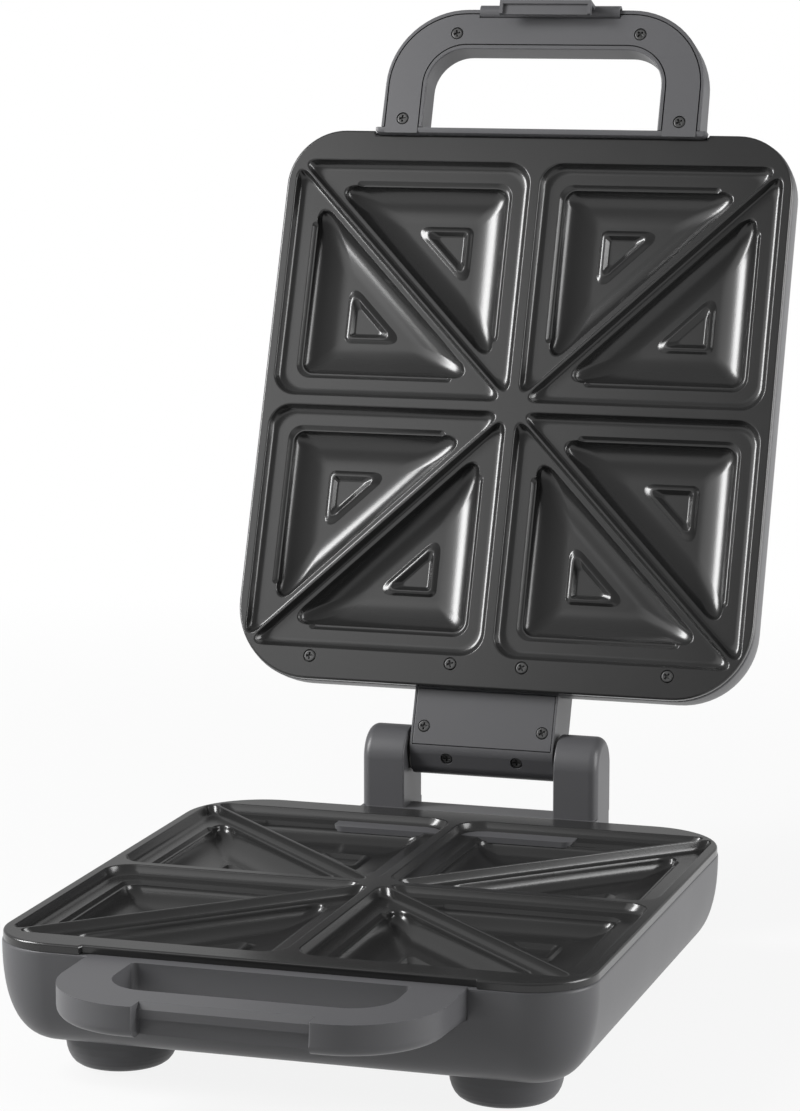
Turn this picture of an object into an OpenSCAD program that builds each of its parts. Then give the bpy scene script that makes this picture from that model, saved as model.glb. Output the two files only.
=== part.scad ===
// Countertop sandwich toaster for four square sandwiches, each cut into two sealed triangles.
// The lid is drawn shut and then swung open about its hinge, which is how the toaster stands here.
// The rim of the lower cooking plate is the plane z = 0 until the whole part is set on its feet.

/* [Cooking plates] */
// Side of the square recess that takes one sandwich
bread_side = 135.5; // [130:0.5:142]
// Width of the flat bars between the four recesses
bar_w = 6; // [5:0.5:9]
// Rim beside the recesses, at the left and right
side_rim = 5.5; // [4.5:0.5:9]
// Rim in front of and behind the recesses, where the plate is fastened
end_rim = 17.5; // [16:0.5:22]
// Height of the plate's outer edge that shows above the casing
plate_edge_h = 4; // [3:0.5:6]
// Corner radius of the plate at the front
plate_front_r = 32; // [26:1:36]
// Corner radius of the plate at the hinge side
plate_back_r = 42; // [36:1:48]
// How far the plate's front edge steps back behind the handle
front_setback = 2.5; // [1:0.5:4]
// Depth of the crust ledge below the rim
ledge_depth = 5; // [3.5:0.5:6]
// Width of the crust ledge, out to the step
ledge_w = 10.2; // [8:0.2:12]
// Depth of the filling pocket below the rim
pocket_depth = 15; // [12:0.5:17]
// Width of the cutting ridge at its crest
ridge_crest = 1.6; // [1.2:0.2:2.4]
// Width of the cutting ridge at its foot
ridge_foot = 7; // [6:0.5:9]
// Thickness of the casting under the recesses
plate_t = 2.8; // [2.2:0.2:3.6]

/* [Casings] */
// How far each casing stands out beyond the plate, which is nearly flush with it
casing_margin = 0.3; // [0.1:0.1:3]
// Wall thickness of the two casings
casing_t = 2.5; // [2:0.1:3.5]
// Depth of the lower casing below the plate
base_depth = 48; // [46:1:60]
// Depth of the lid casing above its plate
lid_depth = 45; // [44:1:56]
// How far the casing sides draw in from top to bottom
side_draw = 26; // [20:1:30]
// Gap between the rims of the two plates when shut
rim_gap = 1; // [0.6:0.1:2]

/* [Feet] */
// Diameter of a foot where it meets the casing
foot_d = 54; // [40:1:56]
// Height of a foot
foot_h = 17.2; // [14:0.2:24]
// Sideways place of the front feet
front_foot_x = 95; // [85:1:100]
// Place of the front feet, forward of the middle of the plate
front_foot_y = 104; // [90:1:106]
// Sideways place of the rear feet, under the hinge bridge
rear_foot_x = 36; // [32:1:38]
// Height of the rubber pad below the foot
pad_proud = 0.8; // [0.5:0.1:1.2]

/* [Hinge] */
// Distance of the hinge axis behind the plate's back edge
hinge_back = 35.6; // [33:0.5:40]
// Height of the hinge axis above the lower rim
hinge_up = 21.2; // [20:0.2:24]
// Angle by which the lid stands open
open_angle = 110.5; // [90:0.5:112]
// Height of the hinge axis above the arm's flat face
arm_drop = 13.2; // [12:0.2:14]
// Radius of the arm's round end, behind the hinge axis
barrel_r = 9.2; // [9:0.1:11]
// Width of the hinge arm
arm_w = 80; // [70:1:90]
// Thickness of the hinge arm at the lid
arm_t = 30.5; // [28:0.5:32]
// Side gap between the arm and each post
arm_gap = 1.6; // [1:0.2:3]
// Width of a hinge post
post_w = 24; // [20:1:30]
// Radius of the round top of a hinge post
post_r = 16.5; // [15:0.5:18]
// Diameter of the hinge shaft
shaft_d = 6; // [5:0.5:8]
// Running clearance of the shaft in a bush, on the radius
shaft_play = 0.06; // [0.03:0.01:0.1]

/* [Handles] */
// Width of both bow handles
handle_w = 182; // [170:2:190]
// How far the handles reach out from the plate's front edge
handle_reach = 73; // [66:1:80]
// Thickness of the front bar of the handles
grip_t = 26; // [23:1:30]
// Thickness of the side arms of the handles
grip_arm_t = 24; // [20:1:28]
// Outer corner radius of the handles
handle_r = 44; // [38:1:50]
// Height of the lower handle
low_handle_h = 15; // [13:0.5:20]
// Height of the upper handle
top_handle_h = 20; // [17:0.5:24]
// Depth of the lower handle's top face below the rim
handle_drop = 4; // [3:0.5:6]

/* [Latch] */
// Width of the latch clip over its barrel
clip_w = 80; // [70:1:90]
// Width of the clip's flap
flap_w = 52; // [40:1:60]
// Radius of the clip's barrel
clip_r = 3.6; // [3.4:0.1:3.8]
// Diameter of the clip's pin
clip_pin_d = 2.5; // [2:0.1:3]
// Depth of the notch in the lower handle that the clip drops into
notch_depth = 10; // [9:0.5:12]

/* [Hidden] */

housing_grey = "#4a4a4a";
plate_grey = "#2b2b2b";
handle_grey = "#5a5a5a";
steel_grey = "#9a9a9a";

// Plates
half_bar = bar_w / 2;
recess_reach = half_bar + bread_side;
plate_hx = recess_reach + side_rim;
plate_hy = recess_reach + end_rim;
block_reach = recess_reach + 1.5;
block_r = 20;
slope_run = 3.4;
step_run = 3.2;
step_depth = 2.5;
pocket_side = ledge_w + step_run;
cove_run = 15;
step_end = bread_side - 32.5;
dimple_side = 33;
dimple_leg = 28;
dimple_depth = 1.8;
cup_bottom = pocket_depth + dimple_depth + plate_t;
setback_hx = handle_w / 2 + 4;
screw_row_y = plate_hy - 12.5;
screw_xs = [20, 100];
room = 3 * plate_hy;

// Casings: a shoulder at the plate, then sides that draw in along a superellipse
casing_hx = plate_hx + casing_margin;
casing_hy = plate_hy + casing_margin;
casing_front_r = plate_front_r + casing_margin;
casing_back_r = plate_back_r + casing_margin;
seat_z = -plate_edge_h;
base_bottom = seat_z - base_depth;
side_steps = [0, 0.3, 0.45, 0.6, 0.72, 0.82, 0.9, 0.955, 0.99, 1];
side_power = 2.5;
shoulder = [[0, 1], [0.5, 0.25], [1.4, 0]];
function draw_in(t) = side_draw * (1 - pow(1 - pow(t, side_power), 1 / side_power));

// Heating parts under the plate
element_d = 6.5;
element_z = -cup_bottom - element_d / 2;
element_hx = 82;
element_hy = 88;
element_r = 30;
element_end_x = 20;
element_end_y = 132;
reflector_z = element_z - element_d / 2 - 2.5;
reflector_t = 0.8;
plate_post_reach = 105;
reflector_reach = plate_post_reach + 13;
reflector_back = plate_post_reach + 7;
reflector_r = 12;
fuse_y = 30;
fuse_l = 12;
fuse_d = 4.4;

// Hinge
hinge_y = plate_hy + hinge_back;
hinge_z = hinge_up;
post_in = arm_w / 2 + arm_gap;
post_out = post_in + post_w;
deck_z = seat_z - 0.5;
bridge_hx = post_out;
bridge_back = hinge_y + post_r;
bridge_r = 7;
bridge_edge_r = 18;
bore_r = shaft_d / 2 + shaft_play;
shaft_grip = 0.03;
bush_r = shaft_d / 2 + 2;
bush_flange_r = shaft_d / 2 + 4;
bush_l = 12;
arm_face_z = hinge_z - arm_drop;

// Handles
handle_hx = handle_w / 2;
handle_front = plate_hy + handle_reach;
hole_hx = handle_hx - grip_arm_t;
hole_front = handle_front - grip_t;
hole_back = plate_hy - 12;
hole_r = 21;
top_face_z = -handle_drop + rim_gap;
cover_t = 2.5;
cover_side = 1.2;
cover_front = 5.5;
cover_lip = 2.5;
cover_fit = 0.2;
hollow_side = 3.6;
hollow_front = 10;
hollow_lip = 4.6;
strip_hx = setback_hx - 0.3;
low_handle_root = plate_hy - 3;
hole_root = plate_hy + 5;

// Latch: the barrel lies in the front bottom edge of the upper handle
clip_y = -(handle_front - 4);
clip_z = top_face_z + 1.5;
flap_t = 2.2;
flap_face = handle_front - 1.5;
flap_end_z = -handle_drop - 11;
catch_under_z = -handle_drop - 7;
catch_reach = handle_front - 7;
notch_hx = clip_w / 2 + 1;

// The open toaster stands on the ground with its box centred on the origin
handle_round = 2;
rise = foot_h + pad_proud - base_bottom;
lid_top_z = rim_gap + plate_edge_h + lid_depth;
back_reach = hinge_y - (hinge_y + handle_front - handle_round) * cos(open_angle)
    + (top_face_z + top_handle_h - hinge_z) * sin(open_angle);
middle_y = (back_reach - handle_front) / 2;

module stand() {
    translate([0, -middle_y, rise]) children();
}

// Swings the shut lid open about the hinge axis
module open_lid() {
    stand() translate([0, hinge_y, hinge_z]) rotate([-open_angle, 0, 0])
        translate([0, -hinge_y, -hinge_z]) children();
}

// Turns a piece drawn for the lower half over, onto the lid
module turned_over() {
    translate([0, 0, rim_gap]) mirror([0, 0, 1]) children();
}

module at_sides(x) {
    for (side = [-1, 1]) translate([side * x, 0, 0]) children();
}

module along_x(length) {
    translate([-length / 2, 0, 0]) rotate([0, 90, 0]) linear_extrude(length) children();
}

// Flat outline with its own corner radius at the front and at the back
module rounded_outline(hx, front, back, front_r, back_r) {
    front_y = -front;
    translate([-hx + front_r, front_y]) square([2 * (hx - front_r), front_r]);
    translate([-hx + back_r, back - back_r]) square([2 * (hx - back_r), back_r]);
    translate([-hx, front_y + front_r]) square([2 * hx, front + back - front_r - back_r]);
    for (side = [-1, 1]) {
        translate([side * (hx - front_r), front_y + front_r]) circle(r = front_r, $fn = 64);
        translate([side * (hx - back_r), back - back_r]) circle(r = back_r, $fn = 64);
    }
}

// Solid whose four corners are turned posts, which gives it drawn-in sides all round
module from_corner_posts(hx, front, back, front_r, back_r, profile) {
    hull() for (side = [-1, 1]) {
        translate([side * (hx - front_r), -front + front_r, 0])
            rotate_extrude($fn = 36)
                polygon([for (p = profile) [p[0] < 0 ? 0 : front_r - p[0], p[1]]]);
        translate([side * (hx - back_r), back - back_r, 0])
            rotate_extrude($fn = 36)
                polygon([for (p = profile) [p[0] < 0 ? 0 : back_r - p[0], p[1]]]);
    }
}

/* Cooking plate */

// Rounded right triangle: side is its distance from the two legs, hyp the limit of x + y
module triangle_slice(z, side, hyp, corner_r, tip_r, fn) {
    tip = hyp - side - tip_r * (1 + sqrt(2));
    translate([0, 0, z]) {
        translate([side + corner_r, side + corner_r, 0]) cylinder(h = 0.01, r = corner_r, $fn = fn);
        translate([tip, side + tip_r, 0]) cylinder(h = 0.01, r = tip_r, $fn = fn);
        translate([side + tip_r, tip, 0]) cylinder(h = 0.01, r = tip_r, $fn = fn);
    }
}

// One triangular half of a recess, drawn from its right-angled corner
module half_recess() {
    crest_limit = bread_side - ridge_crest / 2 * sqrt(2);
    foot_limit = bread_side - ridge_foot / 2 * sqrt(2);
    // Crust ledge with its sloping edge
    hull() {
        triangle_slice(0.01, 0, crest_limit, 12, 5, 20);
        triangle_slice(-ledge_depth, slope_run, foot_limit, 9, 4, 20);
    }
    // Step along both legs, which stops short of the sharp corners
    hull() for (level = [0, 1]) {
        edge = ledge_w + level * step_run * 0.7;
        translate([0, 0, -ledge_depth - level * step_depth]) {
            translate([edge + 8, edge + 8, 0]) cylinder(h = 0.01, r = 8, $fn = 20);
            for (place = [[step_end, edge + 1], [step_end, foot_limit - step_end - 6]])
                for (swap = [0, 1]) translate([place[swap], place[1 - swap], 0])
                    cylinder(h = 0.01, r = 1, $fn = 8);
        }
    }
    // Filling pocket with coved walls
    hull() for (turn = [0, 30, 60, 90]) {
        inset = cove_run * (1 - cos(turn));
        triangle_slice(-ledge_depth - (pocket_depth - ledge_depth) * sin(turn), pocket_side + inset,
            foot_limit - 2.7 - inset * sqrt(2), 7, 6 - turn / 90 * 2.5, 16);
    }
    // Small stepped triangle sunk in the pocket floor
    hull() {
        triangle_slice(-pocket_depth + 0.01, dimple_side, 2 * dimple_side + dimple_leg, 3, 2.6, 8);
        triangle_slice(-pocket_depth - dimple_depth, dimple_side + 2.6,
            2 * dimple_side + dimple_leg - 6, 1.2, 1, 8);
    }
}

// Underside of one pocket
module half_cup() {
    hull() {
        triangle_slice(-ledge_depth, pocket_side - plate_t, bread_side - 4, 9, 3, 12);
        triangle_slice(-cup_bottom, pocket_side + cove_run - plate_t - 2,
            bread_side - 4 - 10 * sqrt(2), 6, 3, 8);
    }
}

module in_every_half() {
    for (flip_x = [0, 1]) for (flip_y = [0, 1]) for (swap = [0, 1])
        mirror([flip_x, 0, 0]) mirror([0, flip_y, 0]) mirror([swap, -swap, 0])
            translate([recess_reach, half_bar, 0]) mirror([1, 0, 0]) children();
}

plate_profile = [[-1, seat_z], [0, seat_z], [0, -1.2], [0.4, -0.35], [1.3, 0], [-1, 0]];

plate_screw_bite = 5;

module cooking_plate(screw_holes) {
    difference() {
        union() {
            from_corner_posts(plate_hx, plate_hy, plate_hy, plate_front_r, plate_back_r, plate_profile);
            translate([0, 0, -ledge_depth - plate_t]) linear_extrude(ledge_depth + plate_t + seat_z + 0.5)
                rounded_outline(block_reach, block_reach, block_reach, block_r, block_r);
            in_every_half() half_cup();
        }
        in_every_half() half_recess();
        translate([-setback_hx, -plate_hy - 1, seat_z - 1])
            cube([2 * setback_hx, front_setback + 1, plate_edge_h + 2]);
        if (screw_holes) {
            for (x = screw_xs) at_sides(x) translate([0, screw_row_y, seat_z - 1]) {
                cylinder(h = plate_edge_h + 2, r = 1.9, $fn = 16);
                translate([0, 0, plate_edge_h - 1.4]) cylinder(h = 4, r = 3.5, $fn = 20);
            }
        } else {
            at_plate_posts() translate([0, 0, plate_post_top - 1])
                cylinder(h = plate_screw_bite + 1, r = 2, $fn = 16);
        }
    }
}

module base_plate() {
    color(plate_grey) stand() cooking_plate(false);
}

module lid_plate() {
    color(plate_grey) open_lid() turned_over() cooking_plate(true);
}

/* Casings */

function casing_profile(depth, wall, floor_t) = concat(
    [[-1, seat_z + (wall > 0 ? 1 : 0)]],
    wall > 0 ? [[wall + shoulder[0][1], seat_z + 1]] : [],
    [for (s = shoulder) [s[1] + wall, seat_z - s[0]]],
    [for (t = side_steps) if (t > 0) [draw_in(t) + wall, seat_z - t * (depth - floor_t)]],
    [[-1, seat_z - depth + floor_t]]
);

module casing_outside(depth) {
    from_corner_posts(casing_hx, casing_hy, casing_hy, casing_front_r, casing_back_r,
        casing_profile(depth, 0, 0));
}

module casing_inside(depth) {
    from_corner_posts(casing_hx, casing_hy, casing_hy, casing_front_r, casing_back_r,
        casing_profile(depth, casing_t, casing_t));
}

// Ledge round the casing's mouth, which carries the plate
module plate_seat() {
    seat_in = block_reach + 0.8;
    translate([0, 0, seat_z - 3]) linear_extrude(3) difference() {
        rounded_outline(casing_hx - casing_t, casing_hy - casing_t, casing_hy - casing_t,
            casing_front_r - casing_t, casing_back_r - casing_t);
        rounded_outline(seat_in, seat_in, seat_in, block_r + 0.8, block_r + 0.8);
    }
}

module bridge_outside() {
    edge = [[-1, deck_z], [0, deck_z], [0, base_bottom + 12], [2, base_bottom + 4],
        [6, base_bottom], [-1, base_bottom]];
    difference() {
        from_corner_posts(bridge_hx, -plate_hy + 30, bridge_back, bridge_r, bridge_r, edge);
        // The deck rolls over into the back wall between the two posts
        translate([0, bridge_back - bridge_edge_r, deck_z - bridge_edge_r])
            along_x(2 * post_in) difference() {
                translate([-bridge_edge_r - 1, 0]) square(bridge_edge_r + 1);
                circle(r = bridge_edge_r, $fn = 72);
            }
    }
}

module bridge_inside() {
    front = plate_hy - 40;
    translate([-bridge_hx + casing_t, front, base_bottom + casing_t])
        cube([2 * (bridge_hx - casing_t), bridge_back - front - casing_t - 10,
            deck_z - base_bottom - casing_t - 3]);
}

bush_x = 84;
bush_z = -30;
bush_hole_r = 6;
bush_face_y = casing_hy - 0.5;
plate_post_top = -ledge_depth - plate_t;
foot_boss_h = 9;

module at_plate_posts() {
    for (turn = [0, 90, 180, 270]) rotate([0, 0, turn]) translate([plate_post_reach, 0, 0]) children();
}

module base_housing() {
    color(housing_grey) stand() difference() {
        union() {
            difference() {
                union() {
                    casing_outside(base_depth);
                    bridge_outside();
                }
                casing_inside(base_depth);
                bridge_inside();
            }
            plate_seat();
            // Posts that the plate is screwed down to, and bosses for the feet
            at_plate_posts() translate([0, 0, base_bottom + 1])
                cylinder(h = plate_post_top - base_bottom - 1, r = 5, $fn = 32);
            for (place = foot_places()) translate([place[0], place[1], base_bottom + 1])
                cylinder(h = foot_boss_h - 1, r = 5, $fn = 32);
            // Flat boss round the cord bush
            translate([bush_x, bush_face_y - 10, bush_z]) rotate([-90, 0, 0])
                cylinder(h = 10, r = bush_hole_r + 3.5, $fn = 40);
            // Pocket that the lower handle's root is let into
            translate([-handle_hx - 2.5, -low_handle_root - 1.8, low_handle_under - 2.5])
                cube([2 * handle_hx + 5, 4.3, low_handle_h + 2.5]);
        }
        at_plate_posts() translate([0, 0, base_bottom - 1]) {
            cylinder(h = base_depth + 2, r = 2.2, $fn = 24);
            cylinder(h = base_depth - 15, r = 3.8, $fn = 24);
        }
        translate([bush_x, casing_hy - 40, bush_z]) rotate([-90, 0, 0])
            cylinder(h = 60, r = bush_hole_r, $fn = 40);
        for (place = foot_places()) translate([place[0], place[1], base_bottom - 1])
            cylinder(h = foot_boss_h + 2, r = 2.1, $fn = 24);
        at_sides(post_mid_x) translate([0, hinge_y, deck_z - 12]) cylinder(h = 20, r = 2.1, $fn = 24);
        at_sides(handle_arm_x) translate([0, -casing_hy, low_handle_mid_z]) rotate([-90, 0, 0])
            cylinder(h = 12, r = 2.1, $fn = 24);
        low_handle_body(0.15);
    }
}

low_handle_under = -handle_drop - low_handle_h;
low_handle_mid_z = -handle_drop - low_handle_h / 2;
handle_arm_x = (hole_hx + handle_hx) / 2;
post_mid_x = post_in + post_w / 2;

module lid_housing() {
    color(housing_grey) open_lid() turned_over() difference() {
        union() {
            difference() {
                casing_outside(lid_depth);
                casing_inside(lid_depth);
            }
            plate_seat();
            at_sides(screw_xs[1]) translate([0, screw_row_y, seat_z - 14])
                cylinder(h = 14, r = 3.3, $fn = 32);
        }
        at_sides(screw_xs[1]) translate([0, screw_row_y, seat_z - 11])
            cylinder(h = 12, r = 1.5, $fn = 24);
        at_sides(screw_xs[0]) translate([0, screw_row_y, seat_z - 4])
            cylinder(h = 5, r = 3.1, $fn = 24);
        // Holes for the two lamp lenses in the outer face
        at_sides(lens_x) translate([0, -lens_y, seat_z - lid_depth - 1])
            cylinder(h = casing_t + 3, r = lens_r + 0.1, $fn = 40);
        // The handle's root and the hinge arm pass into the casing
        turned_over() {
            handle_root(0.15);
            arm_root(0.15);
        }
    }
}

/* Heating parts, drawn for the lower half */

module tube_turn(x, y, start) {
    translate([x, y, element_z]) rotate([0, 0, start])
        rotate_extrude(angle = 90, $fn = 48) translate([element_r, 0]) circle(d = element_d, $fn = 24);
}

module tube_run(x, y, length, along_y) {
    translate([x, y, element_z]) rotate(along_y ? [-90, 0, 0] : [0, 90, 0])
        cylinder(h = length, d = element_d, $fn = 24);
}

// Tubular element: a loop under the pockets whose two ends come together at the back
module heating_element() {
    sx = element_hx - element_r;
    sy = element_hy - element_r;
    tail = element_end_x + element_r;
    tube_turn(sx, -sy, -90);
    tube_turn(-sx, -sy, 180);
    tube_turn(sx, sy, 0);
    tube_turn(-sx, sy, 90);
    tube_run(-sx, -element_hy, 2 * sx, false);
    for (side = [-1, 1]) {
        tube_run(side * element_hx, -sy, 2 * sy, true);
        tube_run(side > 0 ? tail : -sx, element_hy, sx - tail, false);
        translate([side * tail, element_hy + element_r, element_z])
            rotate([0, 0, side > 0 ? 180 : 270])
                rotate_extrude(angle = 90, $fn = 48) translate([element_r, 0])
                    circle(d = element_d, $fn = 24);
        tube_run(side * element_end_x, element_hy + element_r, element_end_y - element_hy - element_r,
            true);
    }
}

// Pressed straps that bear on the element and reach up to the plate beside it
module element_clamps() {
    foot_z = -ledge_depth - plate_t;
    strap_t = 1.2;
    low_z = element_z - element_d / 2 - strap_t;
    at_sides(element_hx) translate([0, -6, 0]) {
        translate([-8, 0, low_z]) cube([16, 12, strap_t]);
        for (x = [-8, 8 - strap_t]) translate([x, 0, low_z]) cube([strap_t, 12, foot_z - low_z]);
    }
}

module reflector() {
    difference() {
        translate([0, 0, reflector_z - reflector_t]) linear_extrude(reflector_t)
            rounded_outline(reflector_reach, reflector_reach, reflector_back, reflector_r, reflector_r);
        at_plate_posts() translate([0, 0, -60]) cylinder(h = 60, r = 5.4, $fn = 32);
    }
    // Turned-up tabs that hang the tray from the plate
    for (front = [-1, 1]) at_sides(60)
        translate([-8, front * 6 - 0.4, reflector_z - 0.1])
            cube([16, reflector_t, -ledge_depth - plate_t - reflector_z + 0.1]);
}

// Bimetal disc thermostat that bears on the middle of the plate
module thermostat() {
    top_z = -ledge_depth - plate_t;
    translate([0, 0, top_z - 3]) cylinder(h = 3, d = 16, $fn = 48);
    translate([0, 0, top_z - 10]) cylinder(h = 7, d = 14, $fn = 48);
    for (side = [-1, 1]) translate([side * 4 - 0.4, -3, top_z - 13.5]) cube([0.8, 6, 4]);
}

// One-shot thermal fuse in its sleeve
module thermal_fuse() {
    top_z = -ledge_depth - plate_t;
    translate([0, fuse_y + fuse_l / 2, top_z - fuse_d / 2]) rotate([90, 0, 0])
        cylinder(h = fuse_l, d = fuse_d, $fn = 32);
    for (end = [-1, 1]) translate([0, fuse_y + end * (fuse_l - 1), top_z - fuse_d / 2])
        rotate([90, 0, 0]) cylinder(h = fuse_l, d = 1, center = true, $fn = 16);
}

module base_heating_element() { color(steel_grey) stand() heating_element(); }
module lid_heating_element() { color(steel_grey) open_lid() turned_over() heating_element(); }
module base_element_clamps() { color("#b0b0b0") stand() element_clamps(); }
module lid_element_clamps() { color("#b0b0b0") open_lid() turned_over() element_clamps(); }
module base_reflector() { color("#c8c8c8") stand() reflector(); }
module lid_reflector() { color("#c8c8c8") open_lid() turned_over() reflector(); }
module base_thermostat() { color("#d8d4c8") stand() thermostat(); }
module lid_thermostat() { color("#d8d4c8") open_lid() turned_over() thermostat(); }
module base_thermal_fuse() { color("#f0ead8") stand() thermal_fuse(); }
module lid_thermal_fuse() { color("#f0ead8") open_lid() turned_over() thermal_fuse(); }

/* Wiring and cord inlet */

block_x = 43;
block_h = 14;
block_floor = base_bottom + casing_t;
lead_d = 2.4;
lead_y = element_end_y + lead_d / 2 + 0.1;

module terminal_block() {
    color("#e8e2d0") stand() translate([block_x - 15, lead_y - 9, block_floor]) difference() {
        cube([30, 18, block_h]);
        for (x = [6, 15, 24]) translate([x, 9, block_h - 5]) cylinder(h = 6, r = 2.4, $fn = 24);
    }
}

// One lead: up from the floor to an end of the element, and along to the terminal block
module lead(x, run_z) {
    translate([x, lead_y, run_z]) {
        cylinder(h = element_z - run_z, d = lead_d, $fn = 24);
        sphere(d = lead_d, $fn = 24);
        rotate([0, 90, 0]) cylinder(h = block_x - 15 - x, d = lead_d, $fn = 24);
    }
}

module internal_lead() {
    color("#d9d9d0") stand() {
        lead(-element_end_x, block_floor + 3);
        lead(element_end_x, block_floor + 9);
    }
}

// Plain round bush where the supply cord enters the back wall
module cord_bush() {
    color("#3a3a3a") stand() translate([bush_x, bush_face_y, bush_z]) rotate([-90, 0, 0])
        difference() {
            union() {
                translate([0, 0, -18]) cylinder(h = 18.5, r = bush_hole_r - 0.05, $fn = 40);
                cylinder(h = 3, r = bush_hole_r + 2.5, $fn = 40);
            }
            translate([0, 0, -19]) cylinder(h = 23, r = cord_bore_r, $fn = 40);
        }
}

cord_bore_r = 3.6;

/* Screws */

// Cross-head screw that stands on z = 0 with its shank below
module screw(head_r, head_h, shank_r, length) {
    difference() {
        cylinder(h = head_h, r = head_r, $fn = 32);
        for (turn = [0, 90]) rotate([0, 0, turn])
            translate([-head_r * 0.55, -head_r * 0.13, head_h - 0.8])
                cube([head_r * 1.1, head_r * 0.26, 1]);
    }
    translate([0, 0, -length]) cylinder(h = length, r = shank_r, $fn = 24);
}

module base_plate_screws() {
    head_z = base_bottom + base_depth - 16;
    color(steel_grey) stand() at_plate_posts() translate([0, 0, head_z]) mirror([0, 0, 1])
        screw(3.4, 2, 1.9, plate_post_top + plate_screw_bite - 0.5 - head_z);
}

module lid_plate_screws() {
    color("#3c3c3c") open_lid() turned_over() for (x = screw_xs) at_sides(x)
        translate([0, screw_row_y, seat_z + plate_edge_h - 2.4]) screw(3.2, 1.8, 1.45, 10);
}

/* Feet */

function foot_places() = [
    [-front_foot_x, -front_foot_y], [front_foot_x, -front_foot_y],
    [-rear_foot_x, rear_foot_y], [rear_foot_x, rear_foot_y]
];
rear_foot_y = bridge_back - foot_d / 2 - 6;
foot_steps = [0, 0.3, 0.5, 0.65, 0.78, 0.88, 0.95, 0.985, 1];
foot_power = 2.6;
pad_r = 9;
function foot_r(t) = foot_d / 2 * (0.62 + 0.38 * pow(1 - pow(t, foot_power), 1 / foot_power));

// Round foot that narrows to its base, hollow below for the screw and the pad
module foot(place) {
    stand() translate([place[0], place[1], base_bottom - foot_h]) difference() {
        rotate_extrude($fn = 72)
            polygon(concat([[0, foot_h]], [for (t = foot_steps) [foot_r(t), (1 - t) * foot_h]], [[0, 0]]));
        translate([0, 0, -1]) {
            cylinder(h = 2, r = pad_r + 0.1, $fn = 40);
            cylinder(h = foot_h - 3, r = 4, $fn = 32);
            cylinder(h = foot_h + 6, r = 2.1, $fn = 24);
        }
    }
}

module front_foot_left() { color(housing_grey) foot(foot_places()[0]); }
module front_foot_right() { color(housing_grey) foot(foot_places()[1]); }
module rear_foot_left() { color(housing_grey) foot(foot_places()[2]); }
module rear_foot_right() { color(housing_grey) foot(foot_places()[3]); }

module foot_pads() {
    color("#222222") stand() for (foot = foot_places())
        translate([foot[0], foot[1], base_bottom - foot_h - pad_proud])
            cylinder(h = pad_proud + 1, r = pad_r, $fn = 40);
}

module foot_screws() {
    color(steel_grey) stand() for (foot = foot_places())
        translate([foot[0], foot[1], base_bottom - 4]) mirror([0, 0, 1])
            screw(3.6, 2, 1.9, 10);
}

/* Hinge posts and shaft */

// Outline of a post from the side: straight up and round over the hinge axis
module post_outline(inset) {
    translate([hinge_y, hinge_z]) circle(r = post_r - inset, $fn = 72);
    translate([hinge_y - post_r + inset, deck_z]) square([2 * (post_r - inset), hinge_z - deck_z]);
}

// Post drawn for the right-hand side, with its outer edges rounded
module post_body() {
    edge_r = 6;
    hull() {
        translate([post_in, 0, 0]) rotate([90, 0, 90]) linear_extrude(post_w - edge_r) post_outline(0);
        for (turn = [25, 50, 70, 90]) translate([post_in + post_w - edge_r * (1 - sin(turn)) - 0.01, 0, 0])
            rotate([90, 0, 90]) linear_extrude(0.01) post_outline(edge_r * (1 - cos(turn)));
    }
}

module hinge_post() {
    difference() {
        post_body();
        // Hollow, open below, with a boss left for the screw and one for the shaft
        difference() {
            translate([post_in + casing_t, hinge_y - post_r + casing_t + 1, deck_z - 1])
                cube([post_w - 2 * casing_t - 2, 2 * (post_r - casing_t - 1), hinge_z - deck_z - 6]);
            translate([post_mid_x, hinge_y, deck_z - 2]) cylinder(h = 60, r = 5, $fn = 32);
        }
        translate([post_mid_x, hinge_y, deck_z - 1]) cylinder(h = 11, r = 1.6, $fn = 24);
        translate([post_in - 1, hinge_y, hinge_z]) rotate([0, 90, 0])
            cylinder(h = post_w - 4, r = shaft_d / 2 + shaft_grip, $fn = 40);
    }
}

module hinge_post_right() { color(housing_grey) stand() hinge_post(); }
module hinge_post_left() { color(housing_grey) stand() mirror([1, 0, 0]) hinge_post(); }

module post_screws() {
    color(steel_grey) stand() at_sides(post_mid_x) translate([0, hinge_y, deck_z - 3.01])
        mirror([0, 0, 1]) screw(3.4, 2, 1.55, 12);
}

module hinge_shaft() {
    color("#b8b8b8") stand() translate([0, hinge_y, hinge_z])
        along_x(2 * (post_in + post_w - 6)) circle(d = shaft_d, $fn = 40);
}

/* Hinge arm */

lens_x = 14;
lens_y = casing_hy - 42;
lens_r = 4;

arm_root_y = block_reach + 0.6;

// Side outline of the arm: flat face below, round end on the hinge axis
module arm_outline() {
    hull() {
        translate([hinge_y, hinge_z]) circle(r = barrel_r, $fn = 48);
        translate([hinge_y - 4.5, arm_face_z + 8]) circle(r = 8, $fn = 48);
        translate([arm_root_y, arm_face_z]) square([30, arm_t]);
        translate([plate_hy + 14, arm_face_z + arm_t - 8]) circle(r = 8, $fn = 32);
    }
}

module arm_root(gap) {
    translate([-arm_w / 2 - gap, arm_root_y - gap, arm_face_z - gap])
        cube([arm_w + 2 * gap, 30, arm_t + 2 * gap]);
}

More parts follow.
